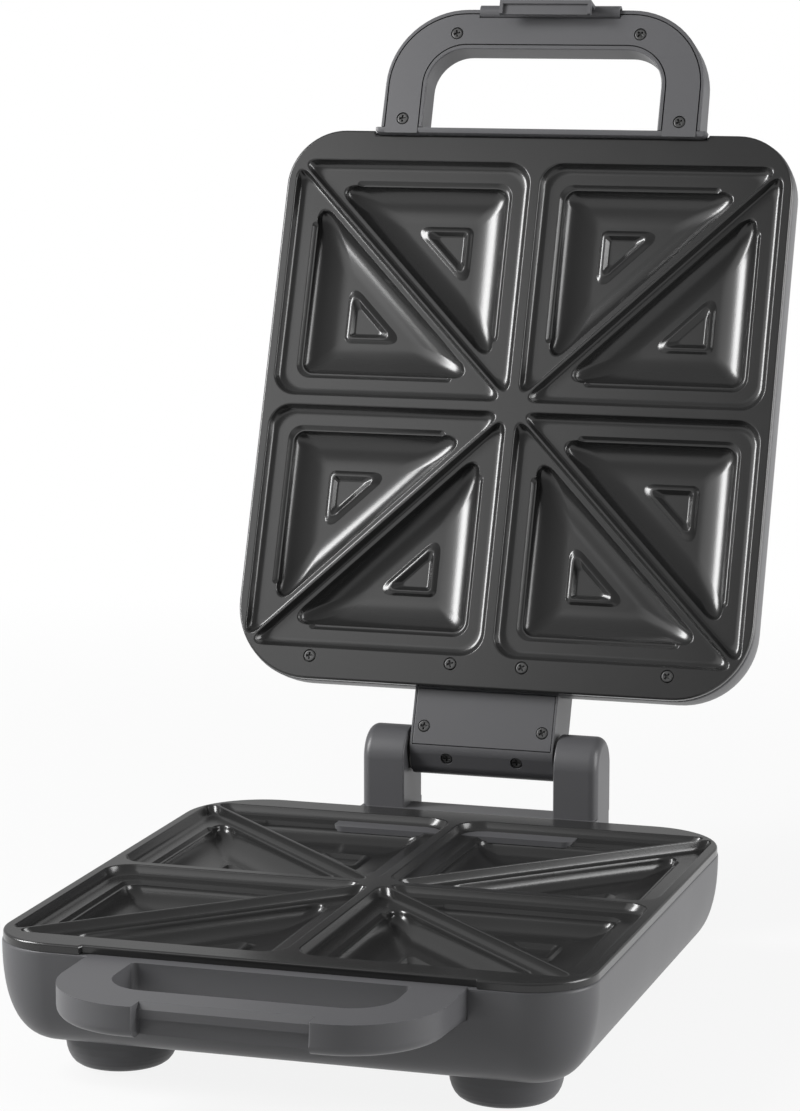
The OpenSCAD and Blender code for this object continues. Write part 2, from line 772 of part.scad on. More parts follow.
module hinge_arm() {
    cover_y = plate_hy + casing_margin + 0.5;
    color(housing_grey) open_lid() difference() {
        union() {
            translate([-arm_w / 2, 0, 0]) rotate([90, 0, 90]) linear_extrude(arm_w) arm_outline();
            // Bosses for the two middle screws of the lid plate
            at_sides(screw_xs[0]) translate([0, screw_row_y, rim_gap + plate_edge_h])
                cylinder(h = arm_face_z + 1 - rim_gap - plate_edge_h, r = 2.9, $fn = 32);
        }
        at_sides(screw_xs[0]) translate([0, screw_row_y, rim_gap + plate_edge_h - 1])
            cylinder(h = 11, r = 1.5, $fn = 24);
        // Hollow from the lid side, past the bosses
        translate([-arm_w / 2 + casing_t, screw_row_y + 4, arm_face_z + cover_t + casing_t])
            cube([arm_w - 2 * casing_t, hinge_y - 18 - screw_row_y - 4,
                arm_t - 2 * casing_t - cover_t]);
        // Shallow recess for the cover plate
        translate([-arm_w / 2 + 1.2, cover_y - 0.3, arm_face_z - 1])
            cube([arm_w - 2.4, hinge_y - cover_y - 4, cover_t + 1]);
        // Seats for the two bushes
        translate([0, hinge_y, hinge_z]) {
            along_x(arm_w + 2) circle(r = bush_r + 0.5, $fn = 40);
        }
        for (x = arm_screw_xs) at_sides(x) translate([0, arm_screw_y, arm_face_z])
            cylinder(h = 8, r = 1.6, $fn = 24);
        for (x = barrel_screw_xs) at_sides(x) barrel_screw_place() cylinder(h = 7, r = 3.4, $fn = 24);
    }
}

arm_screw_xs = [arm_w / 2 - 7];
arm_screw_y = hinge_y - 14.5;
barrel_screw_xs = [19.5];
barrel_screw_turn = 39;
barrel_screw_shift = 4.5;
barrel_screw_sunk = 2.4;

module barrel_screw_place() {
    translate([0, hinge_y, hinge_z]) rotate([180 + barrel_screw_turn, 0, 0])
        translate([0, barrel_screw_shift, barrel_r - barrel_screw_sunk]) children();
}

module arm_cover() {
    cover_y = plate_hy + casing_margin + 0.5;
    color("#505050") open_lid() difference() {
        translate([-arm_w / 2 + 1.4, cover_y, arm_face_z])
            cube([arm_w - 2.8, hinge_y - cover_y - 4.6, cover_t]);
        for (x = arm_screw_xs) at_sides(x) translate([0, arm_screw_y, arm_face_z - 1]) {
            cylinder(h = 2.4, r = 3.2, $fn = 32);
            cylinder(h = 8, r = 1.8, $fn = 24);
        }
    }
}

module arm_cover_screws() {
    color("#3c3c3c") open_lid() for (x = arm_screw_xs) at_sides(x)
        translate([0, arm_screw_y, arm_face_z + 1.4]) mirror([0, 0, 1])
            screw(3, 1.3, 1.55, 6);
}

module barrel_screws() {
    color("#3c3c3c") open_lid() for (x = barrel_screw_xs) at_sides(x) barrel_screw_place()
        translate([0, 0, 0.05]) screw(3, 1.5, 1.2, 0.01);
}

// Flanged bush that the lid turns on
module bush(side) {
    open_lid() translate([0, hinge_y, hinge_z]) mirror([side < 0 ? 1 : 0, 0, 0]) difference() {
        union() {
            translate([arm_w / 2 - bush_l, 0, 0]) rotate([0, 90, 0])
                cylinder(h = bush_l + 0.2, r = bush_r + 0.45, $fn = 40);
            translate([arm_w / 2, 0, 0]) rotate([0, 90, 0])
                cylinder(h = arm_gap - 0.3, r = bush_flange_r, $fn = 40);
        }
        translate([arm_w / 2 - bush_l - 1, 0, 0]) rotate([0, 90, 0])
            cylinder(h = bush_l + arm_gap + 2, r = bore_r, $fn = 40);
    }
}

module bush_left() { color("#d8d8d0") bush(-1); }
module bush_right() { color("#d8d8d0") bush(1); }

/* Lamps on the lid */

lens_skirt = 7;

// Lens cap through the casing wall, with a flange inside and a skirt that grips the lamp
module lens(side) {
    open_lid() translate([side * lens_x, -lens_y, lid_top_z - casing_t]) difference() {
        union() {
            translate([0, 0, -lens_skirt]) cylinder(h = lens_skirt + casing_t + 0.6, r = lens_r, $fn = 40);
            translate([0, 0, -2]) cylinder(h = 2, r = lens_r + 1.5, $fn = 40);
        }
        translate([0, 0, -lens_skirt - 1]) cylinder(h = lens_skirt + 1.6, r = 2.6, $fn = 32);
    }
}

module power_lens() { color("#b02020") lens(-1); }
module ready_lens() { color("#2a9a3a") lens(1); }

module neon_lamps() {
    color("#f0d0b0") open_lid() at_sides(lens_x) translate([0, -lens_y, lid_top_z - casing_t]) {
        translate([0, 0, -12]) cylinder(h = 9.5, r = 2.55, $fn = 32);
        translate([0, 0, -2.5]) sphere(r = 2.55, $fn = 32);
    }
}

/* Handles */

// Bow outline, shrunk at the sides and at the front, and widened by grow round the finger hole
module bow_outline(side_in, front_in, grow) {
    difference() {
        rounded_outline(handle_hx - side_in, handle_front - front_in, -plate_hy + 10,
            handle_r - side_in, 6);
        rounded_outline(hole_hx + grow, hole_front + grow, -hole_back + grow, hole_r + grow, 5);
    }
}

// Lower handle: a solid bow with a notch for the latch clip
module low_handle_body(gap) {
    difference() {
        translate([0, 0, -handle_drop - low_handle_h - gap])
            linear_extrude(low_handle_h + 2 * gap) difference() {
                rounded_outline(handle_hx + gap, handle_front, -low_handle_root + gap, handle_r, 4);
                rounded_outline(hole_hx - gap, hole_front, -hole_root, hole_r, 3);
            }
        translate([-notch_hx, -handle_front - 1, -handle_drop - low_handle_h - 1])
            cube([2 * notch_hx, notch_depth + 1, low_handle_h + 2]);
        translate([-handle_hx, -low_handle_root + gap, -handle_drop - low_handle_h - 1])
            cube([2 * handle_hx, handle_r, low_handle_h + 2]);
    }
    // Catch that the clip's hook snaps under, with a sloping lead-in
    catch_run = notch_depth - (handle_front - catch_reach);
    translate([-notch_hx - 0.5, 0, 0]) rotate([90, 0, 90]) linear_extrude(2 * notch_hx + 1)
        polygon([
            [-handle_front + notch_depth + 0.1, -handle_drop],
            [-handle_front + notch_depth, -handle_drop],
            [-catch_reach, -handle_drop - catch_run],
            [-catch_reach, catch_under_z],
            [-handle_front + notch_depth + 0.1, catch_under_z]
        ]);
}

module base_handle() {
    color(handle_grey) stand() difference() {
        low_handle_body(0);
        at_sides(handle_arm_x) translate([0, -low_handle_root - 12, low_handle_mid_z])
            rotate([-90, 0, 0]) cylinder(h = 13, r = 1.5, $fn = 24);
    }
}

module base_handle_screws() {
    color(steel_grey) stand() at_sides(handle_arm_x)
        translate([0, -low_handle_root + 2.51, low_handle_mid_z]) rotate([-90, 0, 0])
            screw(3.4, 2, 1.45, 13);
}

module handle_root(gap) {
    for (side = [-1, 1])
        translate([side > 0 ? hole_hx - gap : -handle_hx - gap, -plate_hy - 8, top_face_z - 1])
            cube([handle_hx - hole_hx + 2 * gap, 20, top_handle_h + 1 + gap]);
}

module handle_screw_places() {
    for (place = [[handle_hx - 12, plate_hy + 6], [handle_hx - 38.5, handle_front - 17]])
        at_sides(place[0]) translate([0, -place[1], top_face_z]) children();
}

module lid_handle_shell() {
    color(handle_grey) open_lid() difference() {
        union() {
            difference() {
                translate([0, 0, top_face_z]) linear_extrude(top_handle_h - handle_round)
                    bow_outline(0, 0, 0);
                translate([0, 0, top_face_z + cover_t]) linear_extrude(top_handle_h - cover_t - 5)
                    bow_outline(hollow_side, hollow_front, hollow_lip);
                translate([0, 0, top_face_z - 1]) linear_extrude(cover_t + 1)
                    bow_outline(cover_side - cover_fit, cover_front - cover_fit, cover_lip - cover_fit);
            }
            translate([0, 0, top_face_z + top_handle_h - handle_round - 0.01])
                linear_extrude(handle_round / 2 + 0.01) bow_outline(0.7, 0.7, 0.7);
            translate([0, 0, top_face_z + top_handle_h - handle_round / 2 - 0.01])
                linear_extrude(handle_round / 2 + 0.01)
                    bow_outline(handle_round, handle_round, handle_round);
            handle_screw_places() translate([0, 0, cover_t])
                cylinder(h = top_handle_h - cover_t - 3, r = 4, $fn = 32);
        }
        handle_screw_places() cylinder(h = 14, r = 1.5, $fn = 24);
        lid_root_cut();
        // Seat for the latch barrel and room for its flap
        translate([0, clip_y, clip_z]) along_x(clip_w + 1) circle(r = clip_r + 0.35, $fn = 40);
        translate([-clip_w / 2 - 0.5, -handle_front - 5, top_face_z - 1])
            cube([clip_w + 1, 5 + handle_front + clip_y, clip_z - top_face_z + 1 + clip_r - 0.6]);
        translate([-clip_w / 2 - 0.5, clip_y - 0.1, top_face_z - 1])
            cube([clip_w + 1, clip_r + 0.45, clip_z - top_face_z + 1]);
        translate([0, clip_y, clip_z]) along_x(clip_w + 12) circle(d = clip_pin_d + 0.04, $fn = 24);
    }
}

// Room for the plate, its front lip and the inside of the casing
module lid_root_cut() {
    translate([-room / 2, -plate_hy - 1.15, top_face_z - 1])
        cube([room, room / 2, rim_gap + 2.65 - top_face_z]);
    translate([-room / 2, -plate_hy + front_setback, top_face_z])
        cube([room, room / 2, 8 + rim_gap - top_face_z]);
    translate([-room / 2, -plate_hy + 4, -room / 4]) cube([room, room / 2, room / 2]);
}

module lid_handle_cover() {
    color("#565656") open_lid() difference() {
        union() {
            translate([0, 0, top_face_z]) linear_extrude(cover_t)
                bow_outline(cover_side, cover_front, cover_lip);
            // Lip across the plate's front edge, held by a tongue at each root
            translate([-strip_hx, -plate_hy - 1, rim_gap - 0.5])
                cube([2 * strip_hx, front_setback + 0.8, 2]);
            at_sides(handle_arm_x) translate([-9, -plate_hy - 1, top_face_z])
                cube([18, front_setback + 0.8, 4]);
        }
        translate([-room / 2, -plate_hy + front_setback - 0.2, -room / 4])
            cube([room, room / 2, room / 2]);
        translate([0, clip_y, clip_z]) along_x(clip_w + 12) circle(d = clip_pin_d + 0.6, $fn = 24);
        handle_screw_places() translate([0, 0, -1]) {
            cylinder(h = 2.6, r = 3.4, $fn = 32);
            cylinder(h = 8, r = 1.8, $fn = 24);
        }
        translate([-clip_w / 2 - 0.5, clip_y - 6, top_face_z - 1])
            cube([clip_w + 1, 6 + clip_r + 0.35, 6]);
    }
}

module lid_handle_screws() {
    color("#3c3c3c") open_lid() handle_screw_places()
        translate([0, 0, 1.6]) mirror([0, 0, 1]) screw(3.2, 1.5, 1.45, 9);
}

/* Latch */

module latch_pin() {
    color("#b8b8b8") open_lid() translate([0, clip_y, clip_z])
        along_x(clip_w + 10) circle(d = clip_pin_d, $fn = 24);
}

// Clip: a barrel on the pin, a flap that hangs down in front and a hook lip at its end
module latch_clip() {
    flap_hx = flap_w / 2;
    rim_t = 1.8;
    flap_in = handle_front - notch_depth + 0.6;
    color(handle_grey) open_lid() difference() {
        union() {
            translate([0, clip_y, clip_z]) along_x(clip_w) circle(r = clip_r, $fn = 40);
            translate([-flap_hx, -flap_face, flap_end_z])
                cube([flap_w, flap_t, clip_z - flap_end_z]);
            // Side cheeks and the hook lip
            for (x = [-flap_hx, flap_hx - rim_t])
                translate([x, -flap_face, flap_end_z])
                    cube([rim_t, flap_face - flap_in, catch_under_z - 0.5 - flap_end_z]);
            translate([-flap_hx, -flap_face, catch_under_z - 2.3])
                cube([flap_w, flap_face - flap_in, 1.8]);
        }
        translate([0, clip_y, clip_z]) along_x(clip_w + 2)
            circle(r = clip_pin_d / 2 + 0.05, $fn = 24);
    }
}

base_housing();
base_plate();
base_heating_element();
base_element_clamps();
base_reflector();
base_thermostat();
base_thermal_fuse();
base_plate_screws();
terminal_block();
internal_lead();
cord_bush();
base_handle();
base_handle_screws();
hinge_post_left();
hinge_post_right();
post_screws();
hinge_shaft();
front_foot_left();
front_foot_right();
rear_foot_left();
rear_foot_right();
foot_pads();
foot_screws();
lid_housing();
lid_plate();
lid_heating_element();
lid_element_clamps();
lid_reflector();
lid_thermostat();
lid_thermal_fuse();
lid_plate_screws();
hinge_arm();
arm_cover();
arm_cover_screws();
barrel_screws();
bush_left();
bush_right();
power_lens();
ready_lens();
neon_lamps();
lid_handle_shell();
lid_handle_cover();
lid_handle_screws();
latch_pin();
latch_clip();
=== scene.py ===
"""Sandwich toaster standing open, dressed for its picture. Millimetres until a piece is finished."""

import math

import bmesh
import bpy
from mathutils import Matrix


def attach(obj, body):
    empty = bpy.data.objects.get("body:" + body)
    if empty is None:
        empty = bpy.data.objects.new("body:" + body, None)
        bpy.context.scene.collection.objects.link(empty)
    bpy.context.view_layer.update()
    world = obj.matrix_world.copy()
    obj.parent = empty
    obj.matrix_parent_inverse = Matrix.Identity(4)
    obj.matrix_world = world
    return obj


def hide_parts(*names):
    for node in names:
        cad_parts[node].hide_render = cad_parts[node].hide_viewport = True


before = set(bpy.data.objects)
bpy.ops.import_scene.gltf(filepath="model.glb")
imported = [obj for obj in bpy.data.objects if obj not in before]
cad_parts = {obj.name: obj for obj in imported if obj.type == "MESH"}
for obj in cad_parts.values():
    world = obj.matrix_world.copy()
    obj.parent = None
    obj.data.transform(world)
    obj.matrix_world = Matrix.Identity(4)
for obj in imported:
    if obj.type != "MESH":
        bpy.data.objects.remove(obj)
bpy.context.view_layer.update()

# Driving sizes of the part, in millimetres
BREAD_SIDE = 135.5
HALF_BAR = 3.0
RECESS_REACH = HALF_BAR + BREAD_SIDE
PLATE_HX = RECESS_REACH + 5.5
PLATE_HY = RECESS_REACH + 17.5
PLATE_EDGE = 4.0
PLATE_FRONT_R = 32.0
PLATE_BACK_R = 42.0
SETBACK = 2.5
SETBACK_HX = 95.0
RIM_GAP = 1.0
CASING_MARGIN = 0.3
CASING_HX = PLATE_HX + CASING_MARGIN
CASING_HY = PLATE_HY + CASING_MARGIN
CASING_T = 2.5
BASE_DEPTH = 48.0
LID_DEPTH = 45.0
SIDE_DRAW = 26.0
SIDE_POWER = 2.5
HINGE_Y = PLATE_HY + 35.6
HINGE_Z = 21.2
OPEN_ANGLE = 110.5
ARM_DROP = 13.2
ARM_FACE = HINGE_Z - ARM_DROP
BARREL_R = 9.2
ARM_HX = 40.0
ARM_T = 30.5
POST_IN = 41.6
POST_W = 24.0
POST_R = 16.5
DECK_Z = -4.5
HANDLE_HX = 91.0
HANDLE_FRONT = PLATE_HY + 73.0
HOLE_HX = HANDLE_HX - 24.0
HOLE_FRONT = HANDLE_FRONT - 26.0
HOLE_ROOT = PLATE_HY + 5.0
LOW_ROOT = PLATE_HY - 3.0
HANDLE_R = 44.0
HOLE_R = 21.0
LOW_HANDLE_H = 15.0
TOP_HANDLE_H = 20.0
HANDLE_TOP_Z = -4.0
TOP_FACE_Z = HANDLE_TOP_Z + RIM_GAP
COVER_T = 2.5
CLIP_HX = 40.0
FLAP_HX = 26.0
CLIP_R = 3.6
CLIP_Y = -(HANDLE_FRONT - 4.0)
CLIP_Z = TOP_FACE_Z + 1.5
NOTCH_DEPTH = 10.0
SCREW_ROW_Y = PLATE_HY - 12.5
BASE_BOTTOM = -PLATE_EDGE - BASE_DEPTH
FOOT_H = 17.2
PAD_PROUD = 0.8
# Height of the lower plate's rim over the ground
RISE = FOOT_H + PAD_PROUD - BASE_BOTTOM
TURN = math.radians(OPEN_ANGLE)
# The open lid's handle reaches furthest back, at the start of its front edge's round
HANDLE_ROUND = 2.0
BACK_REACH = (
    HINGE_Y
    - (HINGE_Y + HANDLE_FRONT - HANDLE_ROUND) * math.cos(TURN)
    + (TOP_FACE_Z + TOP_HANDLE_H - HINGE_Z) * math.sin(TURN)
)
MIDDLE_Y = (BACK_REACH - HANDLE_FRONT) / 2


# ---------------------------------------------------------------- modelling


def clear_selection():
    if bpy.context.mode != "OBJECT":
        bpy.ops.object.mode_set(mode="OBJECT")
    bpy.ops.object.select_all(action="DESELECT")


def select_only(piece):
    clear_selection()
    piece.select_set(True)
    bpy.context.view_layer.objects.active = piece


def edit(piece):
    select_only(piece)
    bpy.ops.object.mode_set(mode="EDIT")


def leave_edit():
    bpy.ops.object.mode_set(mode="OBJECT")


def apply_place():
    """Works the selected piece's location, rotation and scale into its mesh."""
    bpy.ops.object.transform_apply(location=True, rotation=True, scale=True)


def twin(piece):
    """A copy with its own mesh."""
    select_only(piece)
    bpy.ops.object.duplicate(linked=False)
    return bpy.context.object


def remove(piece):
    select_only(piece)
    bpy.ops.object.delete()


def choose(kind, test):
    """Selects vertices, edges or faces by a test of their middle's x, y and z and of the element."""
    piece = bpy.context.edit_object
    bpy.ops.mesh.select_mode(type=kind)
    bpy.ops.mesh.select_all(action="DESELECT")
    mesh = bmesh.from_edit_mesh(piece.data)
    for part in {"VERT": mesh.verts, "EDGE": mesh.edges, "FACE": mesh.faces}[kind]:
        if kind == "VERT":
            middle = part.co
        elif kind == "EDGE":
            middle = (part.verts[0].co + part.verts[1].co) / 2
        else:
            middle = part.calc_center_median()
        part.select_set(test(middle.x, middle.y, middle.z, part))
    mesh.select_flush_mode()
    bmesh.update_edit_mesh(piece.data)


def block(low, high):
    """A box between two corners."""
    clear_selection()
    middle = [(a + b) / 2 for a, b in zip(low, high)]
    bpy.ops.mesh.primitive_cube_add(size=1, location=middle)
    piece = bpy.context.object
    piece.scale = [b - a for a, b in zip(low, high)]
    apply_place()
    return piece


def rod(radius, length, middle, axis="Z", sides=48):
    clear_selection()
    turn = {"X": (0, math.pi / 2, 0), "Y": (math.pi / 2, 0, 0), "Z": (0, 0, 0)}[axis]
    bpy.ops.mesh.primitive_cylinder_add(
        vertices=sides, radius=radius, depth=length, location=middle, rotation=turn
    )
    apply_place()
    return bpy.context.object


def round_corners(offset, steps):
    """Rounds the chosen corners of a flat outline."""
    bpy.ops.mesh.bevel(offset=offset, segments=steps, affect="VERTICES")


def round_edges(offset, steps):
    """Rounds the chosen edges."""
    bpy.ops.mesh.bevel(offset=offset, segments=steps)


def flat_outline(hx, front, back, front_r, back_r, z, steps=12):
    """A flat face with rounded corners from -front to +back, left in edit mode and selected."""
    clear_selection()
    bpy.ops.mesh.primitive_plane_add(size=1, location=(0, (back - front) / 2, z))
    piece = bpy.context.object
    piece.scale = (2 * hx, back + front, 1)
    apply_place()
    edit(piece)
    choose("VERT", lambda x, y, zz, v: y < 0.001 - front)
    round_corners(front_r, steps)
    choose("VERT", lambda x, y, zz, v: y > back - 0.001)
    round_corners(back_r, steps)
    choose("FACE", lambda x, y, zz, f: True)
    return piece


def pull(distance_z):
    bpy.ops.mesh.extrude_region_move(TRANSFORM_OT_translate={"value": (0, 0, distance_z)})


def inset(thickness, depth):
    bpy.ops.mesh.inset(thickness=thickness, depth=depth, use_even_offset=True)


def outward():
    bpy.ops.mesh.select_all(action="SELECT")
    bpy.ops.mesh.remove_doubles(threshold=0.0005)
    bpy.ops.mesh.normals_make_consistent(inside=False)


def finished_tool(piece):
    outward()
    leave_edit()
    return piece


def use_modifier(piece, kind, **settings):
    select_only(piece)
    modifier = piece.modifiers.new(kind.title(), kind)
    for name, value in settings.items():
        setattr(modifier, name, value)
    bpy.ops.object.modifier_apply(modifier=modifier.name)


def boolean(piece, tool, operation):
    use_modifier(piece, "BOOLEAN", operation=operation, object=tool, solver="MANIFOLD")
    remove(tool)


def cut(piece, *tools):
    for tool in tools:
        boolean(piece, tool, "DIFFERENCE")
    return piece


def weld(piece, *others):
    for other in others:
        boolean(piece, other, "UNION")
    return piece


def soften(piece, width, steps, angle):
    """Rounds every edge sharper than the angle, as a mould does."""
    use_modifier(
        piece,
        "BEVEL",
        width=width,
        segments=steps,
        limit_method="ANGLE",
        angle_limit=math.radians(angle),
        use_clamp_overlap=True,
    )
    return piece


def joined(pieces):
    clear_selection()
    for piece in pieces:
        piece.select_set(True)
    bpy.context.view_layer.objects.active = pieces[0]
    bpy.ops.object.join()
    return bpy.context.object


def mirrored(piece, scale, shift=(0, 0, 0)):
    """Mirrors a piece about the frame's origin, then shifts it."""
    edit(piece)
    bpy.ops.mesh.select_all(action="SELECT")
    bpy.ops.transform.resize(value=scale, center_override=(0, 0, 0))
    bpy.ops.transform.translate(value=shift)
    bpy.ops.mesh.normals_make_consistent(inside=False)
    leave_edit()
    return piece


def turned_over(piece):
    """Turns a piece of the lower half over, onto the lid."""
    return mirrored(piece, (1, 1, -1), (0, 0, RIM_GAP))


def finish(piece, name, body, material, smooth, replaces):
    """Sets a piece in the row frame, on its body, with its finish.

    Pieces of the lid are swung open first.
    """
    select_only(piece)
    piece.name = name
    piece.data.name = name
    if body in ("lid", "latch"):
        piece.location = (0, -HINGE_Y, -HINGE_Z)
        apply_place()
        piece.rotation_euler = (-TURN, 0, 0)
        apply_place()
        piece.location = (0, HINGE_Y, HINGE_Z)
        apply_place()
    piece.location = (0, -MIDDLE_Y, RISE)
    apply_place()
    piece.scale = (0.001, 0.001, 0.001)
    apply_place()
    bpy.ops.object.shade_smooth_by_angle(angle=math.radians(smooth))
    use_modifier(piece, "WEIGHTED_NORMAL", keep_sharp=True, weight=60)
    piece.data.materials.clear()
    piece.data.materials.append(material)
    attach(piece, body)
    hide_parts(*replaces)


# ---------------------------------------------------------------- materials


def colour(hex_value):
    """sRGB hex to linear."""
    channels = [int(hex_value[i : i + 2], 16) / 255 for i in (1, 3, 5)]
    linear = [c / 12.92 if c <= 0.04045 else ((c + 0.055) / 1.055) ** 2.4 for c in channels]
    return (*linear, 1.0)


def add_node(material, kind, settings=None, links=None):
    """Adds a node. Settings are its own properties or its sockets' values; links feed its sockets."""
    tree = material.node_tree
    node = tree.nodes.new(kind)
    for name, value in (settings or {}).items():
        if isinstance(name, str) and hasattr(node, name):
            setattr(node, name, value)
        else:
            node.inputs[name].default_value = value
    for name, source in (links or {}).items():
        tree.links.new(source, node.inputs[name])
    return node


def new_material(name):
    material = bpy.data.materials.new(name)
    material.use_nodes = True
    material.node_tree.nodes.clear()
    return material


def moulded_plastic(name, shade, worn, roughness):
    """Moulded thermoplastic with a fine spark-eroded grain: satin, with a soft sheen and no sparkle."""
    m = new_material(name)
    place = add_node(m, "ShaderNodeTexCoord").outputs["Object"]
    # Grain 0.9 mm from crest to crest. The real one is finer and wouldn't show
    grain = add_node(
        m, "ShaderNodeTexNoise", {"Scale": 1000 / 0.9, "Detail": 3.0, "Roughness": 0.6}, {"Vector": place}
    )
    # Slight unevenness of the sheen, about 60 mm across, as handling leaves it
    cloud = add_node(m, "ShaderNodeTexNoise", {"Scale": 1000 / 62.5, "Detail": 4.0}, {"Vector": place})
    wear = add_node(m, "ShaderNodeMapRange", {"To Max": 0.6}, {"Value": cloud.outputs[0]})
    tint = add_node(
        m,
        "ShaderNodeMix",
        {"data_type": "RGBA", 6: colour(shade), 7: colour(worn)},
        {0: wear.outputs[0]},
    )
    gloss = add_node(
        m,
        "ShaderNodeMapRange",
        {"To Min": roughness - 0.04, "To Max": roughness + 0.05},
        {"Value": cloud.outputs[0]},
    )
    bump = add_node(
        m, "ShaderNodeBump", {"Strength": 0.18, "Distance": 0.00006}, {"Height": grain.outputs[0]}
    )
    shader = add_node(
        m,
        "ShaderNodeBsdfPrincipled",
        {"IOR": 1.5, "Specular IOR Level": 0.35},
        {"Base Color": tint.outputs[2], "Roughness": gloss.outputs[0], "Normal": bump.outputs[0]},
    )
    add_node(m, "ShaderNodeOutputMaterial", {}, {"Surface": shader.outputs[0]})
    return m


def nonstick_coating(name):
    """Sprayed and baked PTFE on die-cast aluminium: near black, satin-gloss, with a faint orange peel."""
    m = new_material(name)
    place = add_node(m, "ShaderNodeTexCoord").outputs["Object"]
    # Orange peel of the sprayed film, 1.6 mm from crest to crest
    peel = add_node(m, "ShaderNodeTexNoise", {"Scale": 1000 / 1.613, "Detail": 2.0}, {"Vector": place})
    # Uneven film, in patches of about 45 mm
    cloud = add_node(m, "ShaderNodeTexNoise", {"Scale": 1000 / 45.45, "Detail": 3.0}, {"Vector": place})
    tint = add_node(
        m,
        "ShaderNodeMix",
        {"data_type": "RGBA", 6: colour("#1e1e1e"), 7: colour("#232323")},
        {0: cloud.outputs[0]},
    )
    gloss = add_node(
        m, "ShaderNodeMapRange", {"To Min": 0.21, "To Max": 0.26}, {"Value": cloud.outputs[0]}
    )
    bump = add_node(
        m, "ShaderNodeBump", {"Strength": 0.10, "Distance": 0.00008}, {"Height": peel.outputs[0]}
    )
    shader = add_node(
        m,
        "ShaderNodeBsdfPrincipled",
        {"IOR": 1.45, "Coat Weight": 0.15, "Coat Roughness": 0.2},
        {"Base Color": tint.outputs[2], "Roughness": gloss.outputs[0], "Normal": bump.outputs[0]},
    )
    add_node(m, "ShaderNodeOutputMaterial", {}, {"Surface": shader.outputs[0]})
    return m


def plain_metal(name, shade, roughness, scratch_mm, metallic=1.0):
    """Steel whose fine scratches make its sheen a little uneven. They are drawn coarser than real ones."""
    m = new_material(name)
    place = add_node(m, "ShaderNodeTexCoord").outputs["Object"]
    scratches = add_node(
        m, "ShaderNodeTexNoise", {"Scale": 1000 / scratch_mm, "Detail": 4.0}, {"Vector": place}
    )
    gloss = add_node(
        m,
        "ShaderNodeMapRange",
        {"To Min": roughness - 0.08, "To Max": roughness + 0.1},
        {"Value": scratches.outputs[0]},
    )
    bump = add_node(
        m, "ShaderNodeBump", {"Strength": 0.15, "Distance": 0.00003}, {"Height": scratches.outputs[0]}
    )
    shader = add_node(
        m,
        "ShaderNodeBsdfPrincipled",
        {"Base Color": colour(shade), "Metallic": metallic},
        {"Roughness": gloss.outputs[0], "Normal": bump.outputs[0]},
    )
    add_node(m, "ShaderNodeOutputMaterial", {}, {"Surface": shader.outputs[0]})
    return m


def soft_rubber(name):
    """Moulded nitrile rubber: matt, dusty black, with dust and pores about 1 mm apart."""
    m = new_material(name)
    place = add_node(m, "ShaderNodeTexCoord").outputs["Object"]
    grain = add_node(m, "ShaderNodeTexNoise", {"Scale": 1000 / 1.111, "Detail": 5.0}, {"Vector": place})
    tint = add_node(
        m,
        "ShaderNodeMix",
        {"data_type": "RGBA", 6: colour("#1c1c1c"), 7: colour("#2a2a2a")},
        {0: grain.outputs[0]},
    )
    bump = add_node(
        m, "ShaderNodeBump", {"Strength": 0.3, "Distance": 0.0001}, {"Height": grain.outputs[0]}
    )
    shader = add_node(
        m,
        "ShaderNodeBsdfPrincipled",
        {"IOR": 1.5, "Roughness": 0.75},
        {"Base Color": tint.outputs[2], "Normal": bump.outputs[0]},
    )
    add_node(m, "ShaderNodeOutputMaterial", {}, {"Surface": shader.outputs[0]})
    return m


def pale_moulding(name, shade, other, roughness):
    """Pale steatite, resin or glass sleeving: its tone clouds a little every 7 mm."""
    m = new_material(name)
    place = add_node(m, "ShaderNodeTexCoord").outputs["Object"]
    cloud = add_node(m, "ShaderNodeTexNoise", {"Scale": 1000 / 7.143, "Detail": 4.0}, {"Vector": place})
    tint = add_node(
        m,
        "ShaderNodeMix",
        {"data_type": "RGBA", 6: colour(shade), 7: colour(other)},
        {0: cloud.outputs[0]},
    )
    gloss = add_node(
        m,
        "ShaderNodeMapRange",
        {"To Min": roughness, "To Max": roughness + 0.1},
        {"Value": cloud.outputs[0]},
    )
    shader = add_node(
        m,
        "ShaderNodeBsdfPrincipled",
        {"IOR": 1.52},
        {"Base Color": tint.outputs[2], "Roughness": gloss.outputs[0]},
    )
    add_node(m, "ShaderNodeOutputMaterial", {}, {"Surface": shader.outputs[0]})
    return m


def tinted_lens(name, shade):
    """Moulded polycarbonate tinted through: smooth, faintly rippled, and it lets some light through."""
    m = new_material(name)
    place = add_node(m, "ShaderNodeTexCoord").outputs["Object"]
    ripple = add_node(m, "ShaderNodeTexNoise", {"Scale": 1000 / 3.846}, {"Vector": place})
    bump = add_node(
        m, "ShaderNodeBump", {"Strength": 0.05, "Distance": 0.0001}, {"Height": ripple.outputs[0]}
    )
    shader = add_node(
        m,
        "ShaderNodeBsdfPrincipled",
        {"Base Color": colour(shade), "IOR": 1.58, "Transmission Weight": 0.55, "Roughness": 0.12},
        {"Normal": bump.outputs[0]},
    )
    add_node(m, "ShaderNodeOutputMaterial", {}, {"Surface": shader.outputs[0]})
    return m


casing_plastic = moulded_plastic("moulded_abs_casing", "#4b4b4d", "#4f4f51", 0.38)
handle_plastic = moulded_plastic("moulded_pa_handle", "#4e4e50", "#525254", 0.40)
foot_plastic = moulded_plastic("moulded_abs_foot", "#505052", "#555557", 0.45)
coating = nonstick_coating("ptfe_coated_cast_aluminium")
